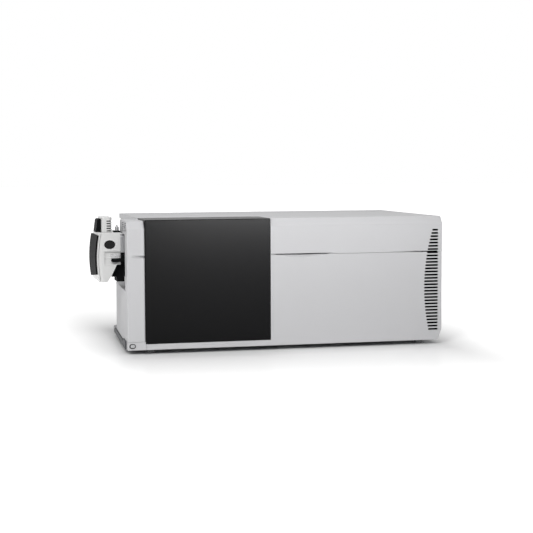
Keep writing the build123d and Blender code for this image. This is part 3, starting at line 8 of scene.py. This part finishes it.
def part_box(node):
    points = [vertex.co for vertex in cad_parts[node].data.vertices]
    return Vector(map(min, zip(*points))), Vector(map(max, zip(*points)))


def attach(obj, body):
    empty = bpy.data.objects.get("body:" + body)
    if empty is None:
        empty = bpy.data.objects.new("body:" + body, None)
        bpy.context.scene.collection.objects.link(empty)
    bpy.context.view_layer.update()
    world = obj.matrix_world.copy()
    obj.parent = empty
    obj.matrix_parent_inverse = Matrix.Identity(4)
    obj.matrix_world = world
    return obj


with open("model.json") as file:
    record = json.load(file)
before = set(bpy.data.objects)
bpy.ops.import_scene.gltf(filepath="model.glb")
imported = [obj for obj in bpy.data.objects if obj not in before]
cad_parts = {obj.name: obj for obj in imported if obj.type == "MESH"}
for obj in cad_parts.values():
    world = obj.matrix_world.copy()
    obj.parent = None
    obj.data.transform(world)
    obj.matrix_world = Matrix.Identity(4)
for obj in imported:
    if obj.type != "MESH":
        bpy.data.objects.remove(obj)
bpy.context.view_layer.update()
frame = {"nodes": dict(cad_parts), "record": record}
print("frame loaded:", len(frame["nodes"]), "nodes")

mm = 0.001


def hexToLinear(code):
    # sRGB hex to the linear colour that the shaders take
    channels = [int(code[i : i + 2], 16) / 255 for i in (1, 3, 5)]
    return tuple(c / 12.92 if c <= 0.04045 else ((c + 0.055) / 1.055) ** 2.4 for c in channels) + (1.0,)


def addNode(tree, kind, settings=None, inputs=None):
    # adds one node, sets its properties and fills or links its sockets, which are named or numbered
    node = tree.nodes.new(kind)
    for name, value in (settings or {}).items():
        setattr(node, name, value)
    for name, value in (inputs or {}).items():
        if isinstance(value, bpy.types.NodeSocket):
            tree.links.new(value, node.inputs[name])
        else:
            node.inputs[name].default_value = value
    return node


def emptyMaterial(name):
    material = bpy.data.materials.new(name)
    material.use_nodes = True
    material.node_tree.nodes.clear()
    return material


def objectPoint(tree, stretch=(1.0, 1.0, 1.0)):
    # place on the object in metres, stretched where a grain runs one way
    place = addNode(tree, "ShaderNodeTexCoord")
    return addNode(tree, "ShaderNodeMapping", inputs={"Vector": place.outputs["Object"], "Scale": stretch}).outputs[0]


def perMetre(sizeMm):
    # texture scale whose features are about this wide
    return 1.0 / (sizeMm * mm)


def cloudedColour(tree, look, amount):
    # the colour and a slightly deeper one, mixed by a texture
    light = hexToLinear(look["hex"])
    deep = tuple(c * (1.0 - look["cloud"]) for c in light[:3]) + (1.0,)
    mix = addNode(tree, "ShaderNodeMix", {"data_type": "RGBA"}, {"Factor": amount, "A": deep, "B": light})
    return mix.outputs["Result"]


def spread(tree, look, amount):
    # roughness that a texture moves a little either way
    low, high = look["rough"] - look["roughSpread"], look["rough"] + look["roughSpread"]
    mapped = addNode(tree, "ShaderNodeMapRange", inputs={"Value": amount, "To Min": low, "To Max": high})
    return mapped.outputs["Result"]


def moulded(name, look):
    # Paint or plastic: an even colour that clouds very slightly, a fine grain in its gloss and its relief, and edges
    # that are rounded a little and carry a painted highlight, a shade lighter than the face
    look = {**plainFinish, **look}
    material = emptyMaterial(name)
    tree = material.node_tree
    point = objectPoint(tree)
    cloudInputs = {"Vector": point, "Scale": perMetre(look["cloudMm"]), "Detail": look["cloudDetail"]}
    cloud = addNode(tree, "ShaderNodeTexNoise", inputs=cloudInputs)
    grainInputs = {"Vector": point, "Scale": perMetre(look["grainMm"]), "Detail": look["grainDetail"]}
    grain = addNode(tree, "ShaderNodeTexNoise", inputs=grainInputs)
    rounded = addNode(tree, "ShaderNodeBevel", {"samples": look["edgeSamples"]}, {"Radius": look["edgeMm"] * mm})
    flat = addNode(tree, "ShaderNodeNewGeometry")
    match = addNode(
        tree,
        "ShaderNodeVectorMath",
        {"operation": "DOT_PRODUCT"},
        {0: rounded.outputs["Normal"], 1: flat.outputs["Normal"]},
    )
    # mask of the painted edge highlight: where the rounded normal turns away from the flat one
    paintedEdgeHighlight = addNode(
        tree,
        "ShaderNodeMapRange",
        inputs={
            "Value": match.outputs["Value"],
            "From Min": look["edgeHighlightFrom"],
            "From Max": look["edgeHighlightFull"],
            "To Max": look["paintedEdgeHighlight"],
        },
    )
    # painted highlight: the colour turns a shade lighter along every edge
    colour = addNode(
        tree,
        "ShaderNodeMix",
        {"data_type": "RGBA"},
        {
            "Factor": paintedEdgeHighlight.outputs["Result"],
            "A": cloudedColour(tree, look, cloud.outputs["Fac"]),
            "B": hexToLinear(look["paintedEdgeHighlightHex"]),
        },
    )
    relief = addNode(
        tree,
        "ShaderNodeBump",
        inputs={
            "Height": grain.outputs["Fac"],
            "Distance": look["reliefMm"] * mm,
            "Strength": 1.0,
            "Normal": rounded.outputs["Normal"],
        },
    )
    shader = addNode(
        tree,
        "ShaderNodeBsdfPrincipled",
        inputs={
            "Base Color": colour.outputs["Result"],
            "Roughness": spread(tree, look, grain.outputs["Fac"]),
            "IOR": look["ior"],
            "Specular IOR Level": look["specular"],
            "Coat Weight": look["coat"],
            "Coat Roughness": look["coatRough"],
            "Normal": relief.outputs["Normal"],
        },
    )
    addNode(tree, "ShaderNodeOutputMaterial", inputs={"Surface": shader.outputs[0]})
    return material


def brushed(name, look):
    # Bare metal: fine lines along one direction in its gloss, its tone and its relief
    look = {**plainMetal, **look}
    material = emptyMaterial(name)
    tree = material.node_tree
    point = objectPoint(tree, look["stretch"])
    lineInputs = {"Vector": point, "Scale": perMetre(look["lineMm"]), "Detail": look["lineDetail"]}
    lines = addNode(tree, "ShaderNodeTexNoise", inputs=lineInputs)
    relief = addNode(
        tree,
        "ShaderNodeBump",
        inputs={"Height": lines.outputs["Fac"], "Distance": look["reliefMm"] * mm, "Strength": 1.0},
    )
    shader = addNode(
        tree,
        "ShaderNodeBsdfPrincipled",
        inputs={
            "Base Color": cloudedColour(tree, look, lines.outputs["Fac"]),
            "Metallic": 1.0,
            "Roughness": spread(tree, look, lines.outputs["Fac"]),
            "Normal": relief.outputs["Normal"],
        },
    )
    addNode(tree, "ShaderNodeOutputMaterial", inputs={"Surface": shader.outputs[0]})
    return material


# What a moulded finish has unless its own dictionary says otherwise; the painted edge highlight starts and is full
# where the rounded and the flat normal agree this closely
plainFinish = {
    "hex": "#DADBDB", "cloudMm": 80.0, "cloudDetail": 3.0, "cloud": 0.02,
    "grainMm": 1.0, "grainDetail": 2.0, "reliefMm": 0.01, "rough": 0.45, "roughSpread": 0.04,
    "ior": 1.5, "specular": 0.5, "coat": 0.0, "coatRough": 0.1,
    "edgeMm": 0.8, "edgeSamples": 4, "edgeHighlightFrom": 0.995, "edgeHighlightFull": 0.75, "paintedEdgeHighlight": 0.5, "paintedEdgeHighlightHex": "#E6E7E7",
}
# The same for bare metal
plainMetal = {"stretch": (1.0, 1.0, 1.0), "lineDetail": 4.0, "reliefMm": 0.01}

# Powder-coated sheet steel: a soft even sheen over a faint orange peel
coverPaint = moulded(
    "powderCoatedSteelLightGrey",
    {
        "hex": "#D9D9DB", "cloudMm": 90.0, "grainMm": 1.4, "reliefMm": 0.012, "rough": 0.5, "edgeMm": 1.2,
    },
)
# Moulded ABS, spark-eroded tool: the same grey, a touch duller, with a finer grain
coverAbs = moulded(
    "mouldedAbsLightGrey",
    {
        "hex": "#D9D9DB", "grainMm": 0.8, "rough": 0.5, "ior": 1.53, "edgeMm": 1.4,
    },
)
# Moulded ABS, black: satin, so that it takes a broad soft gradient from the studio
coverBlack = moulded(
    "mouldedAbsBlack",
    {
        "hex": "#060607", "cloud": 0.08, "grainMm": 0.7, "rough": 0.38, "roughSpread": 0.03,
        "specular": 0.11, "ior": 1.53, "edgeMm": 1.0, "paintedEdgeHighlight": 0.6, "paintedEdgeHighlightHex": "#3A3B3D",
    },
)
# Glass-filled nylon: dull dark grey with a coarse grain
railNylon = moulded(
    "mouldedNylonDarkGrey",
    {
        "hex": "#5B5C5F", "cloudMm": 40.0, "cloud": 0.06, "reliefMm": 0.02, "rough": 0.55,
        "specular": 0.3, "paintedEdgeHighlightHex": "#8E8F92",
    },
)
# Polyester gelcoat: bright white with a clear sharp highlight
sourceWhite = moulded(
    "mouldedPolyesterWhite",
    {
        "hex": "#E6E6E5", "cloudMm": 60.0, "grainMm": 1.2, "reliefMm": 0.004, "rough": 0.28,
        "coat": 0.3, "coatRough": 0.12, "paintedEdgeHighlightHex": "#F6F6F6",
    },
)
# Moulded nylon, black: dull, with soft streaks where it bends
blackNylon = moulded(
    "mouldedNylonBlack",
    {
        "hex": "#0A0B0D", "cloudMm": 30.0, "cloud": 0.1, "grainMm": 0.6, "rough": 0.72,
        "roughSpread": 0.06, "specular": 0.1, "ior": 1.53, "paintedEdgeHighlightHex": "#3C3D3F",
    },
)
# Tinted glass, nearly opaque: black and mirror-smooth
tintedGlass = moulded(
    "tintedGlass",
    {
        "hex": "#060607", "cloudMm": 30.0, "grainMm": 3.0, "reliefMm": 0.0, "rough": 0.06,
        "roughSpread": 0.02, "specular": 0.2, "ior": 1.52, "paintedEdgeHighlight": 0.0,
    },
)
# Nitrile rubber: matt black with a powdery bloom
rubber = moulded(
    "nitrileRubber",
    {
        "hex": "#161617", "cloudMm": 8.0, "cloud": 0.2, "grainMm": 0.5, "reliefMm": 0.03,
        "rough": 0.8, "roughSpread": 0.08, "specular": 0.2, "ior": 1.52, "paintedEdgeHighlightHex": "#333334",
    },
)
# Thermoplastic rubber, grey: dull and slightly dusty
greyRubber = moulded(
    "thermoplasticRubberGrey",
    {
        "hex": "#8B8C8D", "cloudMm": 8.0, "cloud": 0.1, "grainMm": 0.5, "reliefMm": 0.02,
        "rough": 0.7, "roughSpread": 0.08, "specular": 0.4, "paintedEdgeHighlightHex": "#A6A7A8",
    },
)
# Powder coat, mid grey: duller than the outside
linerPaint = moulded(
    "powderCoatedSteelMidGrey",
    {
        "hex": "#A9ABAC", "cloudMm": 60.0, "cloud": 0.04, "grainMm": 1.2, "reliefMm": 0.02,
        "rough": 0.55, "paintedEdgeHighlightHex": "#C2C4C5",
    },
)
# Solder mask over glass-epoxy: glossy green with the weave just showing
boardMask = moulded(
    "solderMaskGreen",
    {
        "hex": "#0E5A33", "cloudMm": 6.0, "cloud": 0.35, "grainMm": 0.8, "reliefMm": 0.02,
        "rough": 0.3, "ior": 1.55, "coat": 0.4, "paintedEdgeHighlightHex": "#3F8A5E",
    },
)
# Alumina ceramic: warm white, faintly grainy
alumina = moulded(
    "aluminaCeramic",
    {
        "hex": "#E4E1D8", "cloudMm": 12.0, "cloud": 0.05, "grainMm": 0.4, "rough": 0.4, "ior": 1.76,
        "paintedEdgeHighlightHex": "#EFEDE6",
    },
)
# Near-black matt sheet: painted shade that stands behind slots and openings so that their insides read dark
paintedShadeBlack = moulded(
    "polyurethaneFoamBlack",
    {
        "hex": "#050506", "cloudMm": 4.0, "cloud": 0.5, "grainMm": 1.6, "reliefMm": 0.8,
        "rough": 0.95, "roughSpread": 0.04, "specular": 0.0, "paintedEdgeHighlightHex": "#101011",
    },
)
# Stainless steel, turned and brushed: bright with fine lines across
steel = brushed(
    "stainlessSteel",
    {
        "hex": "#C9C9CA", "stretch": (1.0, 1.0, 8.0), "lineMm": 3.0, "cloud": 0.12, "rough": 0.26,
        "roughSpread": 0.07,
    },
)
# Machined aluminium: paler and softer, with mill lines along its length
aluminium = brushed(
    "machinedAluminium",
    {
        "hex": "#D6D7D9", "stretch": (0.1, 1.0, 1.0), "lineMm": 2.0, "cloud": 0.08, "rough": 0.34,
        "roughSpread": 0.07, "reliefMm": 0.02,
    },
)
# Zinc-plated sheet: cool grey with a soft blotchy shine
zincSteel = brushed(
    "zincPlatedSteel",
    {
        "hex": "#B9BDC0", "lineMm": 14.0, "cloud": 0.2, "rough": 0.38, "roughSpread": 0.1,
    },
)
# Turned brass: warm yellow with fine rings
brass = brushed(
    "turnedBrass",
    {
        "hex": "#C9A45A", "stretch": (1.0, 6.0, 1.0), "lineMm": 2.0, "cloud": 0.1, "rough": 0.25,
        "roughSpread": 0.06,
    },
)

# Borosilicate glass: clear, faintly green where it is thick
glassLook = {"hex": "#EAF2EF", "rough": 0.03, "ior": 1.47, "waveMm": 15.0, "reliefMm": 0.05}
bottleGlass = emptyMaterial("borosilicateGlass")
tree = bottleGlass.node_tree
waveInputs = {"Vector": objectPoint(tree), "Scale": perMetre(glassLook["waveMm"])}
waves = addNode(tree, "ShaderNodeTexNoise", inputs=waveInputs)
ripple = {"Height": waves.outputs["Fac"], "Distance": glassLook["reliefMm"] * mm}
relief = addNode(tree, "ShaderNodeBump", inputs=ripple)
shader = addNode(
    tree,
    "ShaderNodeBsdfPrincipled",
    inputs={
        "Base Color": hexToLinear(glassLook["hex"]),
        "Roughness": glassLook["rough"],
        "IOR": glassLook["ior"],
        "Transmission Weight": 1.0,
        "Normal": relief.outputs["Normal"],
    },
)
addNode(tree, "ShaderNodeOutputMaterial", inputs={"Surface": shader.outputs[0]})

# Which finish each of the part's material slots takes
finishes = {
    "cover_grey": coverPaint,
    "cover_grey_moulded": coverAbs,
    "cover_black": coverBlack,
    "rail_grey": railNylon,
    "source_white": sourceWhite,
    "black_plastic": blackNylon,
    "window_glass": tintedGlass,
    "rubber_black": rubber,
    "rubber_grey": greyRubber,
    "liner_grey": linerPaint,
    "board_green": boardMask,
    "ceramic_white": alumina,
    "steel": steel,
    "aluminium": aluminium,
    "zinc_steel": zincSteel,
    "brass": brass,
    "bottle_clear": bottleGlass,
}
for part in frame["record"]["subparts"]:
    carried = frame["nodes"][part["node"]]
    finish = finishes[part["material_slot"]]
    if not carried.material_slots:
        carried.data.materials.append(finish)
    for holder in carried.material_slots:
        holder.material = finish
print("materials on the carried-over nodes")

# The cabinet's lower left front corner, from which the lamps and the camera are set out
columnLow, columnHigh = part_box("left_column")
corner = Vector((columnLow.x, columnLow.y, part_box("lower_cover")[0].z))


def finishedMesh(name, shape):
    mesh = bpy.data.meshes.new(name)
    shape.to_mesh(mesh)
    shape.free()
    return mesh


def addPiece(name, mesh, material, body):
    # a new piece, its mesh already in place, rides on its body
    piece = bpy.data.objects.new(name, mesh)
    bpy.context.collection.objects.link(piece)
    mesh.materials.append(material)
    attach(piece, body)
    return piece


def slab(name, outline, depth, ease):
    # an outline of points pushed along depth, its rims eased
    shape = bmesh.new()
    face = shape.faces.new([shape.verts.new(p) for p in outline])
    pushed = bmesh.ops.extrude_face_region(shape, geom=[face])["geom"]
    bmesh.ops.translate(shape, verts=[g for g in pushed if isinstance(g, bmesh.types.BMVert)], vec=depth)
    bmesh.ops.recalc_face_normals(shape, faces=shape.faces)
    bmesh.ops.bevel(shape, geom=shape.edges[:], offset=ease, segments=2, affect="EDGES")
    return finishedMesh(name, shape)


# Near-black sheets behind the slots, a painted shade that keeps the inside dark: the grille's follows its bowed left
# end
coverLow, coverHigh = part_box("lower_cover")
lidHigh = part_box("top_cover")[1]
grilleShadeLook = {
    "in": 3.4, "thick": 6.0, "ease": 0.8, "right": 9.0, "left": 68.0, "bow": 20.0, "peak": 0.45,
    "low": 26.0, "high": 22.0, "steps": 16,
}


def grilleOutline():
    # seen from the front: straight at the right, bowed out at the left
    low, high = coverLow.z + grilleShadeLook["low"] * mm, lidHigh.z - grilleShadeLook["high"] * mm
    y = coverLow.y + grilleShadeLook["in"] * mm
    right = coverHigh.x - grilleShadeLook["right"] * mm
    points = [(right, y, low), (right, y, high)]
    for i in range(grilleShadeLook["steps"] + 1):
        share = i / grilleShadeLook["steps"]
        off = 2.0 * (share - grilleShadeLook["peak"])
        reach = grilleShadeLook["left"] - grilleShadeLook["bow"] * off**2
        points.append((coverHigh.x - reach * mm, y, high + (low - high) * share))
    return points


grilleDepth = (0.0, grilleShadeLook["thick"] * mm, 0.0)
addPiece(
    "grilleFilter",
    slab("grilleFilter", grilleOutline(), grilleDepth, grilleShadeLook["ease"] * mm),
    paintedShadeBlack,
    "cabinet",
)

# The column's painted shade: a flat dark pad behind its two stacks of side slots
columnShadeLook = {"in": 3.0, "thick": 2.0, "ease": 0.4, "front": 16.0, "back": 122.0, "low": 34.5, "high": 4.0}
padX = columnLow.x + columnShadeLook["in"] * mm
padFront, padBack = (columnLow.y + columnShadeLook[end] * mm for end in ("front", "back"))
padLow, padHigh = (columnHigh.z - columnShadeLook[end] * mm for end in ("low", "high"))
padCorners = ((padFront, padLow), (padBack, padLow), (padBack, padHigh), (padFront, padHigh))
padOutline = [(padX, y, z) for y, z in padCorners]
padDepth = (columnShadeLook["thick"] * mm, 0.0, 0.0)
addPiece(
    "columnFilter",
    slab("columnFilter", padOutline, padDepth, columnShadeLook["ease"] * mm),
    paintedShadeBlack,
    "cabinet",
)

# Dark sleeve inside the hood, a painted shade: it stands behind the hood's slots
hoodLow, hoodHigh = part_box("nebulizer_cover")
hoodShadeLook = {"inset": 3.2, "thick": 1.2, "round": 7.0, "steps": 6, "top": 5.0, "low": 1.0}


def roundedLoop(low, high, radius, steps):
    # plan of a rounded rectangle
    loop = []
    for i, (x, y) in enumerate(((high.x, high.y), (low.x, high.y), (low.x, low.y), (high.x, low.y))):
        middleX = x - radius if x == high.x else x + radius
        middleY = y - radius if y == high.y else y + radius
        for k in range(steps + 1):
            turn = (i + k / steps) * pi / 2
            loop.append((middleX + radius * cos(turn), middleY + radius * sin(turn)))
    return loop


def sleeve(name, low, high, look):
    # a closed ring wall between two rounded outlines
    shape = bmesh.new()
    rings = []
    for inset in (look["inset"], look["inset"] + look["thick"]):
        pad = Vector((inset, inset, 0.0)) * mm
        loop = roundedLoop(low + pad, high - pad, (look["round"] - inset + look["inset"]) * mm, look["steps"])
        for z in (low.z + look["low"] * mm, high.z - look["top"] * mm):
            rings.append([shape.verts.new((x, y, z)) for x, y in loop])
    outerLow, outerHigh, innerLow, innerHigh = rings
    count = len(outerLow)
    for i in range(count):
        j = (i + 1) % count
        shape.faces.new((outerLow[i], outerLow[j], outerHigh[j], outerHigh[i]))
        shape.faces.new((outerHigh[i], outerHigh[j], innerHigh[j], innerHigh[i]))
        shape.faces.new((innerHigh[i], innerHigh[j], innerLow[j], innerLow[i]))
        shape.faces.new((innerLow[i], innerLow[j], outerLow[j], outerLow[i]))
    bmesh.ops.recalc_face_normals(shape, faces=shape.faces)
    return finishedMesh(name, shape)


addPiece("hoodSleeve", sleeve("hoodSleeve", hoodLow, hoodHigh, hoodShadeLook), paintedShadeBlack, "source")
print("dark sheets of painted shade behind the openings")

# White studio floor: it keeps the lamps' shadow near the instrument, and its glow, nil at the footprint, adds a
# painted shade around it and turns pure white away from it
floorLook = {
    "size": 60.0, "hex": "#F4F4F4", "mirror": 0.08, "mirrorRough": 0.16, "paintedShadeFade": 0.8, "paintedShadeSideFade": 0.22, "glow": 1.0,
}
floorMesh = bpy.data.meshes.new("studioFloor")
half = floorLook["size"] / 2
floorMesh.from_pydata([(-half, -half, 0), (half, -half, 0), (half, half, 0), (-half, half, 0)], [], [(0, 1, 2, 3)])
floor = bpy.data.objects.new("studioFloor", floorMesh)
bpy.context.collection.objects.link(floor)
floorPaint = emptyMaterial("whiteStudioFloor")
tree = floorPaint.node_tree


def throughLens(tree):
    # 1 for what the camera sees, straight, mirrored or through glass
    rays = addNode(tree, "ShaderNodeLightPath")
    total = rays.outputs["Is Camera Ray"]
    for kind in ("Is Glossy Ray", "Is Transmission Ray"):
        both = addNode(tree, "ShaderNodeMath", {"operation": "MAXIMUM"}, {0: total, 1: rays.outputs[kind]})
        total = both.outputs[0]
    return total


matt = addNode(tree, "ShaderNodeBsdfDiffuse", inputs={"Color": hexToLinear(floorLook["hex"])})
mirror = addNode(tree, "ShaderNodeBsdfGlossy", inputs={"Roughness": floorLook["mirrorRough"]})
polish = {"Fac": floorLook["mirror"], 1: matt.outputs[0], 2: mirror.outputs[0]}
surface = addNode(tree, "ShaderNodeMixShader", inputs=polish)
# how far a point of the floor lies outside the cabinet's footprint
footLow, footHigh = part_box("base_tray")
footMiddle, footHalf = (footLow + footHigh) / 2, (footHigh - footLow) / 2
place = addNode(tree, "ShaderNodeTexCoord")
offset = addNode(
    tree,
    "ShaderNodeVectorMath",
    {"operation": "SUBTRACT"},
    {0: place.outputs["Object"], 1: (footMiddle.x, footMiddle.y, 0.0)},
)
across = addNode(tree, "ShaderNodeVectorMath", {"operation": "ABSOLUTE"}, {0: offset.outputs[0]})
beyond = addNode(
    tree,
    "ShaderNodeVectorMath",
    {"operation": "SUBTRACT"},
    {0: across.outputs[0], 1: (footHalf.x, footHalf.y, 0.0)},
)
outside = addNode(
    tree,
    "ShaderNodeVectorMath",
    {"operation": "MAXIMUM"},
    {0: beyond.outputs[0], 1: (0.0, 0.0, 0.0)},
)
# the painted shade around the footprint fades as the glow comes back, over a long way in front and a short way at the
# ends
paced = addNode(
    tree,
    "ShaderNodeVectorMath",
    {"operation": "DIVIDE"},
    {0: outside.outputs[0], 1: (floorLook["paintedShadeSideFade"], floorLook["paintedShadeFade"], 1.0)},
)
away = addNode(tree, "ShaderNodeVectorMath", {"operation": "LENGTH"}, {0: paced.outputs[0]})
negated = addNode(tree, "ShaderNodeMath", {"operation": "MULTIPLY"}, {0: away.outputs["Value"], 1: -1.0})
left = addNode(tree, "ShaderNodeMath", {"operation": "EXPONENT"}, {0: negated.outputs[0]})
# glow nil at the footprint and full far out: painted shade around the instrument
rise = addNode(
    tree,
    "ShaderNodeMapRange",
    inputs={"Value": left.outputs[0], "From Min": 1.0, "From Max": 0.0, "To Max": floorLook["glow"]},
)
level = addNode(
    tree,
    "ShaderNodeMath",
    {"operation": "MULTIPLY"},
    {0: throughLens(tree), 1: rise.outputs["Result"]},
)
glow = addNode(tree, "ShaderNodeEmission", inputs={"Color": (1, 1, 1, 1), "Strength": level.outputs[0]})
total = addNode(tree, "ShaderNodeAddShader", inputs={0: surface.outputs[0], 1: glow.outputs[0]})
addNode(tree, "ShaderNodeOutputMaterial", inputs={"Surface": total.outputs[0]})
floorMesh.materials.append(floorPaint)

# World: an even fill. The camera sees it pure white, and so do gloss and glass but for the dim room in front
worldLook = {"fill": 0.3, "seen": 1.0, "room": 0.2, "roomEdge": -0.5, "wallEdge": 0.1}
world = bpy.data.worlds.new("whiteStudio")
bpy.context.scene.world = world
world.use_nodes = True
tree = world.node_tree
tree.nodes.clear()
way = addNode(tree, "ShaderNodeTexCoord")
along = addNode(tree, "ShaderNodeSeparateXYZ", inputs={0: way.outputs["Generated"]})
studio = addNode(
    tree,
    "ShaderNodeMapRange",
    {"interpolation_type": "SMOOTHSTEP"},
    {
        "Value": along.outputs["Y"],
        "From Min": worldLook["roomEdge"],
        "From Max": worldLook["wallEdge"],
        "To Min": worldLook["room"],
        "To Max": worldLook["seen"],
    },
)
rays = addNode(tree, "ShaderNodeLightPath")
shown = addNode(
    tree,
    "ShaderNodeMix",
    {"data_type": "FLOAT"},
    {"Factor": rays.outputs["Is Camera Ray"], "A": studio.outputs["Result"], "B": worldLook["seen"]},
)
level = addNode(
    tree,
    "ShaderNodeMix",
    {"data_type": "FLOAT"},
    {"Factor": throughLens(tree), "A": worldLook["fill"], "B": shown.outputs["Result"]},
)
sky = addNode(tree, "ShaderNodeBackground", inputs={"Color": (1, 1, 1, 1), "Strength": level.outputs["Result"]})
addNode(tree, "ShaderNodeOutputWorld", inputs={"Surface": sky.outputs[0]})

# Soft boxes, set out from the cabinet's lower left front corner
lamps = {
    "keyBox": {"from": (-0.9, -2.2, 1.8), "at": (0.4, 0.0, 0.3), "size": (0.9, 0.9), "watts": 40.0},
    "frontStrip": {"from": (0.66, -0.3, 0.43), "at": (0.66, 0.0, 0.4), "size": (0.9, 0.06), "watts": 0.42},
    "topBox": {"from": (0.5, 0.1, 1.9), "at": (0.5, 0.2, 0.3), "size": (1.2, 0.8), "watts": 3.6},
    "leftBox": {"from": (-1.4, 0.1, 0.8), "at": (0.0, 0.2, 0.3), "size": (0.6, 0.9), "watts": 0.5},
    # a gentle sheen down the black cover alone, brightest at its upper right
    "coverSheen": {
        "from": (0.52, -0.55, 0.48), "at": (0.3, 0.0, 0.4), "size": (0.8, 0.15), "watts": 9.5, "only": "front_cover",
    },
}
for name, look in lamps.items():
    lamp = bpy.data.lights.new(name, "AREA")
    lamp.shape = "RECTANGLE"
    lamp.size, lamp.size_y = look["size"]
    lamp.energy = look["watts"]
    holder = bpy.data.objects.new(name, lamp)
    bpy.context.collection.objects.link(holder)
    holder.visible_camera = False
    if "only" in look:
        lit = bpy.data.collections.new(name + "Lit")
        lit.objects.link(frame["nodes"][look["only"]])
        holder.light_linking.receiver_collection = lit
    holder.location = corner + Vector(look["from"])
    aim = corner + Vector(look["at"])
    holder.rotation_euler = (aim - holder.location).to_track_quat("-Z", "Y").to_euler()

# Camera: a long lens, slightly left of the instrument's left end and looking down on it a little
cameraLook = {
    "lens": 89.28, "sensor": 36.0, "from": (-0.515, -3.928, 0.556), "yaw": 13.51, "pitch": 4.41, "roll": -0.24,
}
lens = bpy.data.cameras.new("camera")
lens.lens = cameraLook["lens"]
lens.sensor_width = cameraLook["sensor"]
camera = bpy.data.objects.new("camera", lens)
bpy.context.collection.objects.link(camera)
camera.location = corner + Vector(cameraLook["from"])
yaw = Matrix.Rotation(radians(-cameraLook["yaw"]), 4, "Z")
pitch = Matrix.Rotation(radians(90.0 - cameraLook["pitch"]), 4, "X")
roll = Matrix.Rotation(radians(cameraLook["roll"]), 4, "Z")
camera.rotation_euler = (yaw @ pitch @ roll).to_euler()
bpy.context.scene.camera = camera
bpy.context.scene.view_settings.view_transform = "Standard"
print("stage, lamps and camera")
